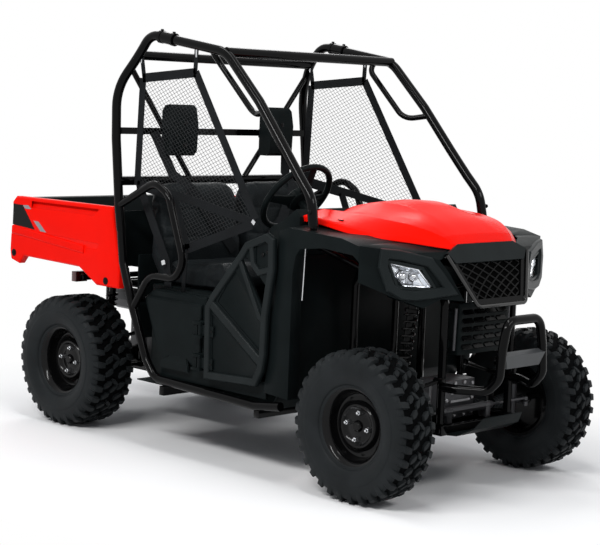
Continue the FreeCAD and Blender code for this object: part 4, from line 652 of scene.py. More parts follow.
def tread(bm, centre, half_width):
    """Shoulder and middle lugs on both halves of the tyre, and lugs along its centre."""
    pitch = 2 * pi / LUG_COUNT
    for k in range(LUG_COUNT):
        reach = 0.024 if k % 2 else 0.0144
        shoulder = SHOULDER_LUG + [(0.271 - reach, 0.975, 0.0025, 0.008)]
        for way, shift in ((-1, 0.75), (1, 0.25)):
            lug(bm, centre, pitch * (k + shift), shoulder, way * half_width, 0.05 * way)
            lug(bm, centre, pitch * (k + shift + 0.5), MIDDLE_LUG, way * half_width, -0.06 * way)
        lug(bm, centre, pitch * k, CENTRE_LUG, half_width, 0.08 if k % 2 else -0.08)


def tyre(word, centre, half_width):
    bm = bmesh.new()
    half = [(radius, share * half_width) for radius, share in CASING]
    profile = smooth_profile(half + [(CROWN, 0)] + [(radius, -y) for radius, y in half[::-1]], 3)
    lathe(bm, profile, centre, sides=80)
    # Casing faces between the lugs near the crown get a far darker rubber: painted shade in the tread's
    # grooves.
    groove_shade_faces = [face.index for face in bm.faces if (face.calc_center_median() - centre).xz.length > 0.286]
    tread(bm, centre, half_width)
    thing = piece("tread_" + word, bm, "tyre", body="wheel_" + word, stands_for=["tyre_" + word], sharp=30)
    thing.data.materials.append(GROOVE_SHADE)
    for index in groove_shade_faces:
        thing.data.polygons[index].material_index = 1


def rim(word, centre, side, half_width):
    """Wheel disc and rim in one turned profile, whose disc lies at d and whose lip lies at e."""
    d = 0.28 * half_width
    e = 0.72 * half_width
    half = [
        (0.0005, d + 0.017), (0.016, d + 0.017), (0.021, d + 0.012), (0.024, d + 0.003), (0.05, d + 0.001),
        (0.064, d - 0.002), (0.071, d + 0.001), (0.078, d + 0.009), (0.086, d + 0.010), (0.093, d + 0.004),
        (0.101, d - 0.010), (0.115, d - 0.014), (0.125, d - 0.011), (0.131, d), (0.133, d + 0.02),
        (0.134, e - 0.024), (0.139, e - 0.012), (0.147, e - 0.004), (0.152, e + 0.001), (0.161, e + 0.003),
        (0.166, e + 0.006), (0.170, e + 0.005), (0.170, e + 0.001), (0.1518, e), (0.1515, e - 0.014),
        (0.1378, e - 0.028), (0.1378, 0.028 - e), (0.1517, -e), (0.170, -e), (0.170, -e - 0.005),
        (0.150, -e - 0.006), (0.133, 0.012 - e), (0.131, d - 0.03), (0.05, d - 0.03), (0.0273, d - 0.03),
        (0.0273, d - 0.036), (0.0155, d - 0.036), (0.0155, d - 0.002), (0.0005, d - 0.002),
    ]
    bm = bmesh.new()
    lathe(bm, [(radius, side * y) for radius, y in half], centre, sides=72)
    piece("wheel_" + word, bm, "rim_black", body="wheel_" + word, stands_for=["rim_" + word], sharp=40)
    wheel_nuts(word, centre, side, d)
    wheel_hole_shades(word, centre, side, d)


def wheel_nuts(word, centre, side, disc):
    """Four nuts on their studs."""
    bm = bmesh.new()
    for k in range(4):
        place = around(centre, 0.055, side * (disc - 0.001), pi / 2 * k + radians(8))
        bolt(bm, place, (0, side, 0), 0.0115, 0.016)
        bolt(bm, place + Vector((0, side * 0.012, 0)), (0, side, 0), 0.006, 0.012, sides=12)
    bevelled(bm, 0.0012, 1)
    piece("nuts_" + word, bm, "cast_aluminium", body="wheel_" + word, look=SILVER, sharp=30)


def wheel_hole_shades(word, centre, side, disc):
    """Nine dark round spots on the disc in place of its holes: painted shade where the holes would show the
    dark inside of the wheel.
    """
    bm = bmesh.new()
    for k in range(9):
        place = around(centre, 0.113, side * (disc - 0.0155), 2 * pi * k / 9 + 0.2)
        bolt(bm, place, (0, side, 0), 0.0085, 0.003, sides=16)
    piece("hole_shades_" + word, bm, "rim_black", body="wheel_" + word, look=BLACK_GLOSS)


def wheels():
    for side, word in SIDES:
        for place, (axle, outer, width) in AXLES.items():
            centre = Vector((axle, side * (outer - width / 2), WHEEL_Z))
            tyre(place + word, centre, width / 2)
            rim(place + word, centre, side, width / 2)


# Hood: cross sections from its outer edge to the centre plane, and the lines and the row that stay hard

HOOD = [
    (14.2, [(4.85, 10.72), (4.9, 10.95), (3.6, 11.2), (2.4, 11.05), (1.75, 11.25), (0, 11.3)]),
    (15.4, [(4.85, 10.68), (4.8, 10.86), (3.5, 11.15), (2.4, 11.1), (1.45, 11.58), (0, 11.66)]),
    (16.6, [(4.85, 10.44), (4.7, 10.68), (3.5, 11.07), (2.4, 11.12), (1.35, 11.55), (0, 11.66)]),
    (17.6, [(4.5, 10.33), (4.3, 10.52), (3.2, 10.98), (2.2, 11.08), (1.3, 11.28), (0, 11.36)]),
    (18.7, [(3.6, 10.22), (3.4, 10.42), (2.75, 10.82), (2.1, 10.93), (1.2, 11.01), (0, 11.04)]),
    (19.55, [(2.6, 10.05), (2.45, 10.2), (2.15, 10.43), (1.9, 10.47), (1.5, 10.5), (0, 10.52)]),
    (19.95, [(2.1, 9.98), (2.0, 10.02), (1.9, 10.08), (1.8, 10.12), (1.5, 10.15), (0, 10.17)]),
]
HARD_LINES = (2, 3, 7, 8)
HARD_ROW = 5


def hood_panel():
    bm = bmesh.new()
    crease = bm.edges.layers.float.new("crease_edge")
    grid = []
    for x, half in HOOD:
        row = [(-y, z) for y, z in half] + [(y, z) for y, z in reversed(half[:-1])]
        grid.append([bm.verts.new(at(x, y, z)) for y, z in row])
    for row, after in zip(grid, grid[1:]):
        for k in range(len(row) - 1):
            bm.faces.new((row[k], row[k + 1], after[k + 1], after[k]))
    middle = len(grid[0]) // 2
    hard = []
    for row, after in zip(grid, grid[1:]):
        for k, ends in enumerate(zip(row, after)):
            edge = bm.edges.get(ends)
            edge[crease] = 0.3 if k == middle else 1.0
            if k in HARD_LINES:
                hard.append(edge)
    for ends in zip(grid[HARD_ROW], grid[HARD_ROW][1:]):
        edge = bm.edges.get(ends)
        edge[crease] = 0.9
        hard.append(edge)
    for edge in bm.edges:
        if edge.is_boundary:
            edge[crease] = 1.0
    bm.edges.index_update()
    hard = {edge.index for edge in hard}
    cover = piece("hood_panel", bm, "red_plastic", stands_for=["hood"], sharp=180)
    for edge in cover.data.edges:
        edge.use_edge_sharp = edge.index in hard
    subdivided(cover, 3)
    shelled(cover, 0.004)


def hood_knobs():
    """Quarter-turn knobs, each a round base with a grip across it."""
    bm = bmesh.new()
    for side in BOTH:
        way = at(16.0, side * 4.45, 10.9) - at(16.0, side * 4.3, 10.5)
        base = ((0, 0.0165), (0.012, 0.0165), (0.015, 0.014), (0.0155, 0.004))
        turned(bm, at(16.0, side * 4.3, 10.68), way, base, 28)
        grip = at(16.0, side * 4.38, 10.82)
        block(bm, grip - Vector((0.013, 0.0035, 0)), grip + Vector((0.013, 0.0035, 0.008)))
    bevelled(bm, 0.001, 1, 50)
    piece("hood_knobs", bm)


# Grille: its slope and the corners of its frame

GRILLE_WAY = Vector((0.92, 0, 0.392))
GRILLE_OUTER = placed([(20.08, -2.57, 9.84), (20.94, -1.5, 7.83), (20.94, 1.5, 7.83), (20.08, 2.57, 9.84)])
GRILLE_INNER = placed([(20.22, -2.12, 9.5), (20.84, -1.38, 8.04), (20.84, 1.38, 8.04), (20.22, 2.12, 9.5)])
NOSE_BAR = placed([(19.94, -1.8, 10.16), (20.08, -2.54, 9.84), (20.25, -2.22, 9.44), (20.25, 2.22, 9.44),
                   (20.08, 2.54, 9.84), (19.94, 1.8, 10.16)])
GRILLE_TRIM = placed([(20.14, -2.62, 9.78), (21.0, -1.55, 7.76), (21.0, 1.55, 7.76), (20.14, 2.62, 9.78)])
GRILLE_COLUMNS, GRILLE_ROWS = 11, 8


def on_plane(corners, u, v):
    """Point of the four-cornered panel at shares u across and v up."""
    low = corners[1].lerp(corners[2], u)
    high = corners[0].lerp(corners[3], u)
    return low.lerp(high, v)


def grille():
    """Frame, plain bar above it in a lighter plastic that paints a highlight on it, crossed mesh over a
    near-black sheet that paints the shade in the grille's depth, and a lacquered trim tube.
    """
    bm = bmesh.new()
    loops = ((GRILLE_OUTER, 0.013), (GRILLE_OUTER, 0.0), (GRILLE_INNER, 0.0), (GRILLE_INNER, 0.013))
    loft(bm, [[p - GRILLE_WAY * depth for p in corners] for corners, depth in loops], closed=True)
    bevelled(bm, 0.004, 3)
    piece("grille_frame", bm, look=BLACK_GLOSS)
    bm = bmesh.new()
    slab(bm, on_face(NOSE_BAR, NOSE_BAR[0], GRILLE_WAY), GRILLE_WAY, -0.015, 0.006)
    bevelled(bm, 0.0035, 3)
    # The nose bar is in a lighter plastic: a painted highlight.
    piece("nose_bar", bm, look=PAINTED_HIGHLIGHT_PLASTIC)
    grille_mesh()
    bm = bmesh.new()
    # Near-black sheet behind the mesh: painted shade in the grille's depth.
    slab(bm, GRILLE_INNER, GRILLE_WAY, -0.014, -0.012)
    piece("grille_shade_sheet", bm, look=GRILLE_SHADE)
    bm = bmesh.new()
    pipe(bm, GRILLE_TRIM, 0.0075, bend=0.03, sides=14)
    piece("grille_trim", bm, look=LACQUER)


def grille_mesh():
    """Bars that zigzag over the cells of the frame, one in each cell."""
    bm = bmesh.new()
    dip = -GRILLE_WAY * 0.009
    for row in range(GRILLE_ROWS):
        for column in range(GRILLE_COLUMNS):
            lean = (row + column) % 2
            foot = on_plane(GRILLE_INNER, (column + lean) / GRILLE_COLUMNS, row / GRILLE_ROWS)
            top = on_plane(GRILLE_INNER, (column + 1 - lean) / GRILLE_COLUMNS, (row + 1) / GRILLE_ROWS)
            pipe(bm, [foot + dip, top + dip], 0.0042, sides=8)
    piece("grille_mesh", bm, look=BLACK_GLOSS, stands_for=["grille"])


def radiator_trim():
    """Hooded vents over the slots of the radiator guard, and the bright strips beside it."""
    bm = bmesh.new()
    for y in (-1.08, -0.36, 0.36, 1.08):
        for z in (6.05, 6.4, 6.75, 7.1, 7.45):
            profile = [(20.08, z + 0.06), (20.22, z - 0.1), (20.2, z - 0.13), (20.08, z - 0.02)]
            loft(bm, [[at(x, end, h) for x, h in profile] for end in (y - 0.3, y + 0.3)])
    piece("radiator_louvres", bm, look=BLACK_GLOSS, sharp=20)
    bm = bmesh.new()
    for side in BOTH:
        pipe(bm, mirrored([(19.98, 1.72, 5.9), (20.02, 1.72, 7.6)], side), 0.006, sides=12)
    piece("radiator_strips", bm, "cast_aluminium")


# Headlamps: outlines of the lens and of the raised bezel around it

LENS = [(19.08, 4.84, 9.51), (19.36, 4.21, 9.37), (19.65, 3.59, 9.24), (19.8, 3.33, 8.85),
        (19.94, 3.07, 8.46), (19.62, 3.79, 8.51), (19.31, 4.5, 8.56), (19.2, 4.67, 9.03)]
BEZEL = [(18.93, 5.2, 9.98), (19.18, 4.53, 9.98), (19.84, 3.08, 9.66), (20.08, 2.66, 9.07), (20.3, 2.2, 8.3),
         (19.92, 3.0, 8.1), (19.6, 3.8, 7.95), (19.34, 4.5, 8.05), (19.09, 5.02, 8.43), (18.9, 5.3, 9.4)]
# The bowl's margin and depth at each ring, and the eyes' distance and share of the radius
BOWL = ((0.004, 0.010), (0.010, 0.026), (0.024, 0.036), (0.040, 0.040))
EYE = ((0, 1), (0.012, 1), (0.014, 0.92), (0.010, 0.8), (0.016, 0.55), (0.019, 0.1))


def lamp_bowl(word, side, lens, facing):
    bm = bmesh.new()
    loft(bm, [[p - facing * depth for p in shrunk(lens, margin)] for margin, depth in BOWL], open_start=True)
    bowl = piece("lamp_bowl_" + word, bm, "lamp_lens", stands_for=by_left(side, "headlamps"))
    shelled(bowl, 0.0012)


def lamp_eyes(word, lens, facing):
    """Two round reflectors in each bowl."""
    bm = bmesh.new()
    tangent = UP.cross(facing).normalized()
    for shift, radius in ((-0.022, 0.021), (0.026, 0.017)):
        place = middle_of(lens) + tangent * shift - facing * 0.033
        turned(bm, place, facing, [(s, radius * share) for s, share in EYE], 28)
    piece("lamp_eyes_" + word, bm, "lamp_lens", look=SILVER)


def lamp_facing(side):
    return Vector((0.914, side * 0.398, 0.075)).normalized()


def headlamps():
    cover = clear_cover()
    for side, word in SIDES:
        lens = mirrored(LENS, side)
        facing = lamp_facing(side)
        lamp_bowl(word, side, lens, facing)
        lamp_eyes(word, lens, facing)
        bm = bmesh.new()
        slab(bm, shrunk(lens, 0.0015), facing, -0.0065, -0.004)
        piece("lamp_cover_" + word, bm, "lamp_lens", look=cover)


def bezels():
    """Raised frames on the cowl around the headlamps, in a lighter plastic that paints a highlight on them.
    """
    for side, word in SIDES:
        facing = lamp_facing(side)
        bm = bmesh.new()
        for line, inset, width, height in ((BEZEL, 0.024, 0.042, 0.013), (LENS, -0.006, 0.014, 0.006)):
            flat = on_face(mirrored(line, side), mirrored(LENS, side)[2], facing)
            ridge(bm, shrunk(flat, inset), width, height, facing, closed=True)
        piece("lamp_bezel_" + word, bm, look=PAINTED_HIGHLIGHT_PLASTIC, sharp=20)


# Seats: side outlines as (x, z)

CUSHION = [(5.95, 7.3), (10.1, 7.3), (10.38, 7.5), (10.4, 7.9), (10.15, 8.25), (9.6, 8.4), (8.0, 8.2),
           (6.4, 8.1), (6.0, 8.3)]
BACKREST = [(4.9, 8.2), (5.5, 7.3), (5.85, 7.3), (5.95, 8.8), (5.75, 10.2), (5.55, 11.25), (5.35, 11.72),
            (5.1, 11.85), (4.88, 11.8), (4.72, 11.45), (4.7, 10.6)]
HEADREST = [(4.17, 12.87), (4.72, 12.87), (4.93, 13.1), (4.98, 14.3), (4.83, 15.0), (4.63, 15.18),
            (4.36, 15.13), (4.17, 14.88)]
# Distance from an end of the seat, inset of the outline and share of the corners' drop there
SEAT_ENDS = ((0, 0.02, 1.0), (0.018, 0.0, 0.5), (0.05, 0.0, 0.15), (0.09, 0.0, 0.0))
SEAT_SHRINK = 0.006
SEAT_VOXEL = 0.009
SEAT_SWELL = 0.012
X_AXIS, Y_AXIS, Z_AXIS = 0, 1, 2


def section_blob(outline, y0, y1, drop):
    """Closed solid of a side outline, pulled in at both ends and lower at its top corners."""
    bm = bmesh.new()
    outline = [(x * STEP, z * STEP) for x, z in outline]
    middle = sum((Vector(p) for p in outline), Vector((0, 0))) / len(outline)
    lowest = min(z for x, z in outline)
    tall = max(z for x, z in outline) - lowest
    sections = []
    stations = [(y0 + a, b, c) for a, b, c in SEAT_ENDS] + [(y1 - a, b, c) for a, b, c in SEAT_ENDS[::-1]]
    for y, inset, share in stations:
        section = []
        for p in outline:
            q = Vector(p)
            q += (middle - q).normalized() * (inset + SEAT_SHRINK)
            q.y -= drop * share * ((p[1] - lowest) / tall) ** 2
            section.append(Vector((REAR_AXLE + q.x, y, q.y)))
        sections.append(section)
    loft(bm, sections)
    return bm


def puffed(thing, voxel, cap, pressure=4.0):
    """Inflates a closed form a little with a cloth simulation and keeps the result."""
    remesh = thing.modifiers.new("remesh", "REMESH")
    remesh.mode = "VOXEL"
    remesh.voxel_size = voxel
    graph = bpy.context.evaluated_depsgraph_get()
    mesh = bpy.data.meshes.new_from_object(thing.evaluated_get(graph))
    thing.modifiers.clear()
    thing.data = mesh
    rest = [v.co.copy() for v in mesh.vertices]
    cloth = thing.modifiers.new("cloth", "CLOTH")
    cloth.settings.use_pressure = True
    cloth.settings.uniform_pressure_force = pressure
    cloth.settings.effector_weights.gravity = 0
    cloth.settings.quality = 4
    cloth.point_cache.frame_end = 20
    for number in range(1, 15):
        scene.frame_set(number)
    graph = bpy.context.evaluated_depsgraph_get()
    moved = thing.evaluated_get(graph).data
    result = []
    for before, vertex in zip(rest, moved.vertices):
        shift = vertex.co - before
        if shift.length > cap:
            shift *= cap / shift.length
        result.append(before + shift)
    thing.modifiers.clear()
    for vertex, place in zip(mesh.vertices, result):
        vertex.co = place
    scene.frame_set(1)


def soft(name, outline, y0, y1, stands_for, channels, drop=0.0):
    """Puffed seat part with sewn channels, each an axis, a place on it, a width and a depth."""
    thing = piece(name, section_blob(outline, y0, y1, drop), "seat_vinyl", stands_for=stands_for)
    parent = thing.parent
    thing.parent = None
    puffed(thing, SEAT_VOXEL, SEAT_SWELL)
    thing.parent = parent
    mesh = thing.data
    for vertex in mesh.vertices:
        for axis, place, width, depth in channels:
            gap = abs(vertex.co[axis] - place)
            if gap < width:
                dip = depth * (1 - gap / width) ** 2
                vertex.co += vertex.normal * -dip
    mesh.materials.clear()
    mesh.materials.append(MATERIALS["seat_vinyl"])
    smooth_faces(mesh)
    subdivided(thing, 1)


def seats():
    for side, word in SIDES:
        y0, y1 = sorted((side * 0.012, side * 0.496))
        mid = (y0 + y1) / 2
        seams = [(Y_AXIS, mid - 0.145, 0.010, 0.006), (Y_AXIS, mid + 0.145, 0.010, 0.006)]
        cross = [(X_AXIS, REAR_AXLE + x, 0.010, 0.004) for x in (0.72, 0.86)]
        soft("cushion_" + word, CUSHION, y0, y1, by_left(side, "seat_cushions"), seams + cross)
        cross = [(Z_AXIS, z, 0.010, 0.004) for z in (0.93, 1.05)]
        soft("backrest_" + word, BACKREST, y0, y1, by_left(side, "seat_backs"), seams + cross, drop=0.055)


def headrests():
    for side, word in SIDES:
        bm = bmesh.new()
        loft(bm, [[at(x, side * 3.07 + end, z) for x, z in HEADREST] for end in (-0.75, 0.75)])
        bevelled(bm, 0.017, 4, 60)
        pad = piece("headrest_" + word, bm, "seat_vinyl", look=MATERIALS["black_plastic"],
                    stands_for=by_left(side, "headrests"), sharp=50)
        bm = bmesh.new()
        for z in (13.35, 14.35):
            bolt(bm, at(4.94, side * 3.07, z), (1, 0, 0), 0.011, 0.005, sides=20)
        piece("headrest_bolts_" + word, bm, look=BLACK_GLOSS)


# Nets and belts: the net hangs in one upright plane, the belts run from the frame to the seat

NET = [(4.6, 16.3), (8.1, 16.6), (12.1, 10.6), (11.9, 10.4), (7.9, 9.0), (6.9, 11.2), (4.4, 11.55)]
NET_TIP = (12.1, 10.6)
NET_Y = 5.36
OUTWARD = Vector((0, 1, 0))
# Straps of the net: two ends, width and thickness; the short edge from its tip has none
STRAPS = [(start, end, 0.040, 0.003) for start, end in zip(NET, NET[1:] + NET[:1]) if start != NET_TIP]
STRAPS += [((4.45, 17.4), (4.68, 16.3), 0.024, 0.003), ((8.1, 17.75), (8.05, 16.55), 0.024, 0.003),
           ((7.85, 9.2), (7.7, 7.05), 0.024, 0.003), ((4.9, 11.6), (11.9, 10.5), 0.035, 0.0025)]
LAP_BELT = [(3.95, 5.0, 11.9), (4.5, 5.22, 11.35), (6.36, 5.22, 8.31), (6.6, 5.24, 7.0)]
SHOULDER_BELT = [(4.1, 4.2, 13.9), (4.75, 3.6, 12.05), (5.62, 3.3, 11.5), (6.1, 2.2, 10.0), (6.15, 0.9, 8.6)]
BELT_WIDTH = 0.046
BELT_THICKNESS = 0.0025
# The mesh: pitch along the grid, slopes of its two sets of strands, and their width and thickness
MESH_PITCH = 0.16
MESH_SLOPES = (0.42, -1.0)
STRAND_WIDTH = 0.0013
STRAND_THICKNESS = 0.0010
SHORTEST_STRAND = 0.05


def strap(bm, points, width, thick, across_way):
    """Flat belt along the points, its width along the given direction."""
    sections = []
    for k, point in enumerate(points):
        before, after = points[max(k - 1, 0)], points[min(k + 1, len(points) - 1)]
        way = (after - before).normalized()
        wide = (across_way - way * across_way.dot(way)).normalized() * width / 2
        deep = way.cross(wide).normalized() * thick / 2
        sections.append([point + a for a in (wide + deep, wide - deep, -wide - deep, -wide + deep)])
    loft(bm, sections)


def net_strap(bm, side, start, end, width, thick):
    """Strap between two (x, z) points in the plane of the net."""
    ends = on_side((start, end), side, NET_Y)
    strap(bm, ends, width, thick, (ends[1] - ends[0]).cross(OUTWARD))


def clipped(polygon, point, way):
    """Stretches of a line inside the polygon, as pairs of distances along it."""
    cuts = []
    for (ax, az), (bx, bz) in zip(polygon, polygon[1:] + polygon[:1]):
        ex, ez = bx - ax, bz - az
        det = way[0] * -ez + ex * way[1]
        if abs(det) < 1e-9:
            continue
        t = ((ax - point[0]) * -ez + ex * (az - point[1])) / det
        s = (way[0] * (az - point[1]) - way[1] * (ax - point[0])) / det
        if 0 <= s < 1:
            cuts.append(t)
    cuts.sort()
    return list(zip(cuts[::2], cuts[1::2]))


def net_straps(side, word):
    bm = bmesh.new()
    for band in STRAPS:
        net_strap(bm, side, *band)
    strap(bm, mirrored(LAP_BELT, side), BELT_WIDTH, BELT_THICKNESS, Vector((1, 0, 0.6)))
    strap(bm, mirrored(SHOULDER_BELT, side), BELT_WIDTH, BELT_THICKNESS, Vector((0.2, 1, 0.3)))
    piece("net_straps_" + word, bm, "webbing", stands_for=by_left(side, "side_nets"))


def net_mesh(side, word):
    bm = bmesh.new()
    for slope in MESH_SLOPES:
        stretch = hypot(1, slope)
        way = (1 / stretch, slope / stretch)
        for k in range(-110, 240):
            height = k * MESH_PITCH * stretch
            for cut in clipped(NET, (0.0, height), way):
                if cut[1] - cut[0] < SHORTEST_STRAND:
                    continue
                ends = [(way[0] * t, height + way[1] * t) for t in cut]
                net_strap(bm, side, *ends, STRAND_WIDTH, STRAND_THICKNESS)
    piece("net_mesh_" + word, bm, "webbing", look=STRAND)


def buckles(side, word):
    """Buckles at the net's tip and at the lap belt, and the bars of the upper straps."""
    bm = bmesh.new()
    for x, z, tilt in ((12.05, 10.5, -0.6), (6.4, 8.25, -1.2)):
        way = Vector((cos(tilt), 0, sin(tilt)))
        place = at(x, side * 5.42, z)
        strap(bm, [place - way * 0.010, place + way * 0.010], 0.017, 0.006, way.cross(OUTWARD))
    for x, z in ((4.46, 17.3), (8.1, 17.6)):
        pipe(bm, on_side([(x, z - 0.35), (x, z + 0.3)], side, NET_Y), 0.005, sides=10)
    bevelled(bm, 0.0015, 1)
    piece("buckles_" + word, bm, "webbing", look=SILVER)


def nets():
    for side, word in SIDES:
        net_straps(side, word)
        net_mesh(side, word)
        buckles(side, word)


# Steering wheel: section of a spoke, its (reach, lift, half width) stations, and the hub's (distance, radius)

SPOKE_SECTION = ((-1, -0.6), (-0.7, -1), (0.7, -1), (1, -0.6), (1, 0.6), (0.7, 1), (-0.7, 1), (-1, 0.6))
SPOKE_STATIONS = ((0.035, -0.022, 0.030), (0.09, -0.014, 0.021), (0.155, -0.002, 0.017))
HUB_STATIONS = ((-0.035, 0.036), (-0.03, 0.05), (-0.012, 0.058), (0.002, 0.056), (0.008, 0.048),
                (0.010, 0.01))
STEERING_RADIUS = 0.166
STEERING_GRIP = 0.0135
RIM_STEPS = 72


def steering_wheel():
    hub = at(12.4, -3.3, 11.53)
    normal = Vector((-0.8, 0, 0.6))
    u = Vector((0, 1, 0))
    v = normal.cross(u)
    bm = bmesh.new()
    spokes = [toward(u, v, 2 * pi * k / RIM_STEPS) for k in range(RIM_STEPS)]
    grip = [circle(hub + way * STEERING_RADIUS, way, normal, STEERING_GRIP, 16) for way in spokes]
    loft(bm, grip, closed=True)
    for degrees in (0, 180, 270):
        way = toward(u, v, radians(degrees))
        cross = normal.cross(way)
        sections = []
        for reach, lift, wide in SPOKE_STATIONS:
            mid = hub + way * reach + normal * lift
            sections.append([mid + cross * wide * a + normal * 0.006 * b for a, b in SPOKE_SECTION])
        loft(bm, sections)
    loft(bm, [circle(hub + normal * s, u, v, radius, 40) for s, radius in HUB_STATIONS])
    piece("steering_rim", bm, body="steering_wheel", stands_for=["steering_wheel"], sharp=40)


# Bed trim, as (x, z) outlines on the bed side

BED_FACE = 6.003
PATCH = [(-4.04, 10.1), (-3.3, 10.08), (-2.3, 8.98), (-4.08, 9.1)]
STRIPES = [[(-3.3, 10.08), (-2.85, 10.1), (-2.62, 9.93), (-3.08, 9.92)],
           [(-2.42, 9.4), (-2.02, 9.38), (-1.4, 8.92), (-1.85, 8.94)]]
RECESS = [(5.72, 10.36), (5.8, 10.3), (5.86, 10.12), (5.99, 9.94), (5.9, 9.9), (5.7, 9.92)]


def bed_decals(side, word):
    """Black patch and grey stripes."""
    bm = bmesh.new()
    plate(bm, on_side(PATCH, side, BED_FACE), 0.0008)
    piece("bed_patch_" + word, bm, body="bed", look=BLACK_GLOSS)
    bm = bmesh.new()
    for stripe in STRIPES:
        plate(bm, on_side(stripe, side, BED_FACE), 0.001)
    piece("bed_stripe_" + word, bm, body="bed", look=GREY)


def bed_lines(side, word):
    """Red floor of the long recess, the rail above it, bolts, and the band below it."""
    bm = bmesh.new()
    loft(bm, [[at(x, side * y, z) for y, z in RECESS] for x in (-2.72, 2.6)])
    piece("bed_recess_" + word, bm, "red_plastic", body="bed", sharp=20)
    bm = bmesh.new()
    block(bm, at(-4.0, side * 5.7 - 0.12, 10.34), at(3.1, side * 5.7 + 0.12, 10.42))
    bevelled(bm, 0.002, 2)
    piece("bed_rail_" + word, bm, body="bed")
    bm = bmesh.new()
    for x, z in ((-3.93, 7.74), (3.13, 7.11)):
        bolt(bm, at(x, side * 5.99, z), (0, side, 0), 0.017, 0.004, sides=24)
        bolt(bm, at(x, side * 6.02, z), (0, side, 0), 0.008, 0.005)
    piece("bed_bolts_" + word, bm, body="bed")
    bm = bmesh.new()
    band = on_side([(-4.05, 8.88), (1.5, 8.4)], side, 5.995)
    ridge(bm, band, 0.04, 0.008, Vector((0, side, 0)))
    piece("bed_band_" + word, bm, "red_plastic", body="bed", sharp=20)


def bed_trim():
    for side, word in SIDES:
        bed_decals(side, word)
        bed_lines(side, word)


def struts():
    """Gas struts under the front of the bed."""
    for side, word in SIDES:
        bm = bmesh.new()
        tip, neck, foot = on_side([(2.75, 7.6), (2.9, 6.84), (3.0, 6.3)], side, 4.5)
        pipe(bm, [tip, neck], 0.013, sides=16)
        pipe(bm, [neck, foot], 0.006, sides=12)
        piece("strut_" + word, bm, "spring_steel", look=SILVER)


# Doors and side panels: (x, z) lines with their width and height, and the panel's facets as (x, z, y)

DOOR_FACE = 6.115
DOOR_EDGE = [(10.27, 3.87), (10.22, 6.75), (10.5, 7.22), (12.14, 9.13), (12.47, 9.58), (13.58, 10.02),
             (13.88, 9.87), (13.92, 8.8), (13.62, 6.85), (13.58, 5.25), (13.47, 4.57), (13.16, 4.0)]
DOOR_RIBS = [([(10.4, 6.95), (13.45, 4.9)], 0.04, 0.010),
             ([(12.05, 8.95), (13.3, 6.75), (13.55, 6.6)], 0.022, 0.007),
             ([(12.72, 9.62), (12.86, 8.85), (13.2, 8.55), (13.85, 8.75)], 0.026, 0.008)]
FACETS = ([(5.85, 6.72, 5.88), (6.3, 7.15, 5.3), (9.5, 7.12, 5.3), (9.5, 6.68, 5.88)],
          [(5.85, 6.72, 5.88), (9.5, 6.68, 5.88), (9.5, 4.05, 5.88), (8.95, 4.05, 5.88), (8.65, 4.3, 5.88),
           (7.5, 4.3, 5.88), (7.15, 4.05, 5.88), (6.75, 4.4, 5.88)],
          [(7.5, 4.3, 5.88), (8.65, 4.3, 5.88), (8.95, 4.05, 6.08), (7.15, 4.05, 6.08)],
          [(7.15, 4.05, 6.08), (8.95, 4.05, 6.08), (8.98, 3.75, 6.06), (7.1, 3.75, 6.06)])


def door_trim(side, word):
    """Raised ribs in a lighter plastic that paints a highlight on them, hinge caps and bolts."""
    facing = Vector((0, side, 0))
    bm = bmesh.new()
    ridge(bm, on_side(DOOR_EDGE, side, DOOR_FACE), 0.034, 0.011, facing, closed=True)
    for line, width, height in DOOR_RIBS:
        ridge(bm, on_side(line, side, DOOR_FACE), width, height, facing)
    piece("door_ribs_" + word, bm, body="door_" + word, look=PAINTED_HIGHLIGHT_PLASTIC, sharp=20)
    bm = bmesh.new()
    for place in on_side(((13.35, 9.3), (13.6, 9.42)), side, DOOR_FACE - 0.05):
        bolt(bm, place, facing, 0.008, 0.006, sides=20)
    for place in on_side(((10.3, 4.35), (10.5, 4.35), (10.3, 5.75), (10.5, 5.75)), side, DOOR_FACE + 0.04):
        bolt(bm, place, facing, 0.006, 0.004)
    piece("door_bolts_" + word, bm, body="door_" + word, look=BLACK_GLOSS)


def side_trim(side, word):
    """Facets of the rear side panel, the rocker strip, and the rod beside the front arch."""
    bm = bmesh.new()
    for facet in FACETS:
        bm.faces.new([bm.verts.new(at(x, side * y, z)) for x, z, y in facet])
    bmesh.ops.remove_doubles(bm, verts=bm.verts, dist=0.0001)
    thicken(bm, bm.faces[:], Vector((0, side * -0.012, 0)))
    bmesh.ops.recalc_face_normals(bm, faces=bm.faces)
    bevelled(bm, 0.003, 2, 12)
    piece("panel_facets_" + word, bm, sharp=14)
    bm = bmesh.new()
    block(bm, at(6.9, side * 5.72 - 0.06, 3.3), at(13.5, side * 5.72 + 0.06, 4.0))
    bevelled(bm, 0.004, 2)
    piece("rocker_" + word, bm)
    bm = bmesh.new()
    pipe(bm, mirrored([(15.29, 5.6, 9.9), (15.19, 5.6, 7.6)], side), 0.0022, sides=8)
    piece("arch_rod_" + word, bm, "cast_aluminium", look=SILVER)


def bulkhead():
    """Black ribbed screen between the seats and the bed."""
    bm = bmesh.new()
    block(bm, at(4.42, -5.2, 4.6), at(4.5, 5.2, 8.4))
    for rib in range(-4, 5):
        block(bm, at(4.36, rib * 1.2 - 0.12, 4.8), at(4.43, rib * 1.2 + 0.12, 8.2))
    bevelled(bm, 0.003, 2)
    piece("bulkhead", bm)


# Driveline: each boot's inner and outer end, axle, larger and smaller radius

BOOTS = ((0.125, 0.215, FRONT_AXLE, 0.040, 0.022), (0.365, 0.285, FRONT_AXLE, 0.034, 0.021),
         (0.125, 0.205, REAR_AXLE, 0.042, 0.023), (0.375, 0.29, REAR_AXLE, 0.040, 0.023))
BOOT_FOLDS = 4
SHAFT_RADIUS = 0.013
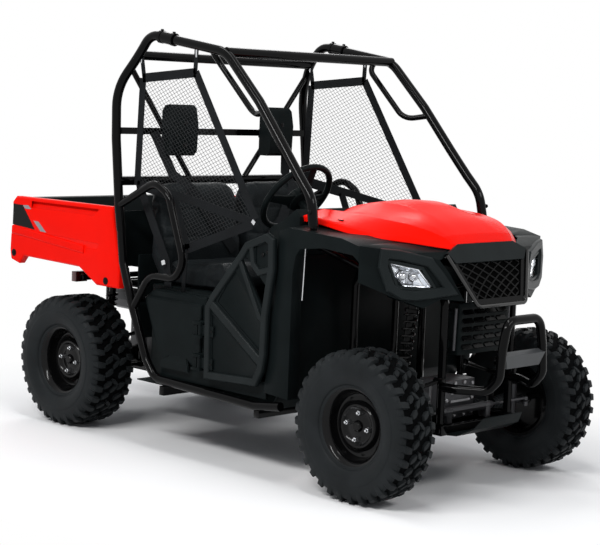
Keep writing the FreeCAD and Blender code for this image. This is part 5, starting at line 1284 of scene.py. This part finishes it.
# Bolts of the front and the rear gearcase: x, the way they face, and their (y, z) places
CASE_BOLTS = ((18.99, 1, ((0.82, 3.0), (0.82, 3.6), (0.82, 4.2), (0.3, 4.28), (0.3, 2.95))),
              (-0.89, -1, ((0.85, 3.0), (0.85, 3.7), (0.85, 4.4), (0.3, 4.45), (0.3, 2.95))))


def boot(bm, side, start, end, axle, big, small):
    """Ribbed rubber boot around a half shaft."""
    folds = []
    for k in range(BOOT_FOLDS * 2 + 1):
        share = k / (BOOT_FOLDS * 2)
        radius = big + (small - big) * share
        folds.append((radius * (0.8 if k % 2 else 1.0), side * (start + (end - start) * share)))
    profile = smooth_profile(folds, 4)
    inside = [(SHAFT_RADIUS, profile[-1][1]), (SHAFT_RADIUS, profile[0][1])]
    lathe(bm, profile + inside, Vector((axle, 0, WHEEL_Z)), sides=36)


def driveline():
    """Boots on the half shafts, ribs and bolts on the gearcases, and nuts on the ball joints."""
    boots = bmesh.new()
    bright = bmesh.new()
    for side in BOTH:
        for sizes in BOOTS:
            boot(boots, side, *sizes)
        for z, way in ((2.12, -1), (3.98, 1)):
            bolt(bright, at(18.54, side * 4.3, z), (0, 0, way), 0.011, 0.010)
        for x in (17.85, 18.35, 18.85):
            block(bright, at(x - 0.06, side * 1.0 - 0.08, 2.9), at(x + 0.06, side * 1.0 + 0.08, 4.3))
        for x, way, places in CASE_BOLTS:
            for y, z in places:
                bolt(bright, at(x, side * y, z), (way, 0, 0), 0.009, 0.008)
    for z in (3.15, 3.5, 3.85):
        for x in (19.0, -1.0):
            block(bright, at(x, -0.62, z), at(x + 0.1, 0.62, z + 0.09))
    piece("shaft_boots", boots, "tyre", sharp=60)
    piece("driveline_trim", bright, "cast_aluminium", look=CAST, sharp=30)


# Shocks: the foot and the top of each, the turns of its spring, and the steps of one turn

SHOCKS = {"front": ((18.54, 3.3, 4.25), (18.9, 3.0, 8.2), 9), "rear": ((0, 3.3, 4.0), (0, 3.0, 6.5), 7)}
TURN_STEPS = 28
# Rod, damper and the spring's two cups: start and end as shares of the length, and radius
DAMPER = ((0, 1, 0.008), (0.5, 0.93, 0.0165), (0.115, 0.14, 0.029), (0.8, 0.83, 0.029))


def coil(bm, low, high, radius, wire, turns):
    way = (high - low).normalized()
    u = way.orthogonal().normalized()
    v = way.cross(u)
    sections = []
    count = turns * TURN_STEPS
    for k in range(count + 1):
        spoke = toward(u, v, 2 * pi * k / TURN_STEPS)
        sections.append(circle(low.lerp(high, k / count) + spoke * radius, spoke, way, wire, 10))
    loft(bm, sections)


def shocks():
    """Coil-over shocks of the front and rear suspension."""
    for place, (foot, top, turns) in SHOCKS.items():
        springs = bmesh.new()
        dampers = bmesh.new()
        for side in BOTH:
            low, high = mirrored([foot, top], side)
            coil(springs, low.lerp(high, 0.14), low.lerp(high, 0.8), 0.0255, 0.0048, turns)
            for a, b, radius in DAMPER:
                pipe(dampers, [low.lerp(high, a), low.lerp(high, b)], radius, sides=20)
        piece(place + "_springs", springs, "spring_steel", stands_for=[place + "_shocks"])
        piece(place + "_dampers", dampers, "spring_steel", look=BLACK_GLOSS)


camera()
floor()
lighting()
dress_nodes()
rear_cage()
headrest_bar()
front_cage()
side_guards()
bumper()
wheels()
hood_panel()
hood_knobs()
grille()
radiator_trim()
headlamps()
bezels()
shocks()
bulkhead()
driveline()
seats()
headrests()
nets()
steering_wheel()
bed_trim()
struts()
for side, word in SIDES:
    door_trim(side, word)
    side_trim(side, word)
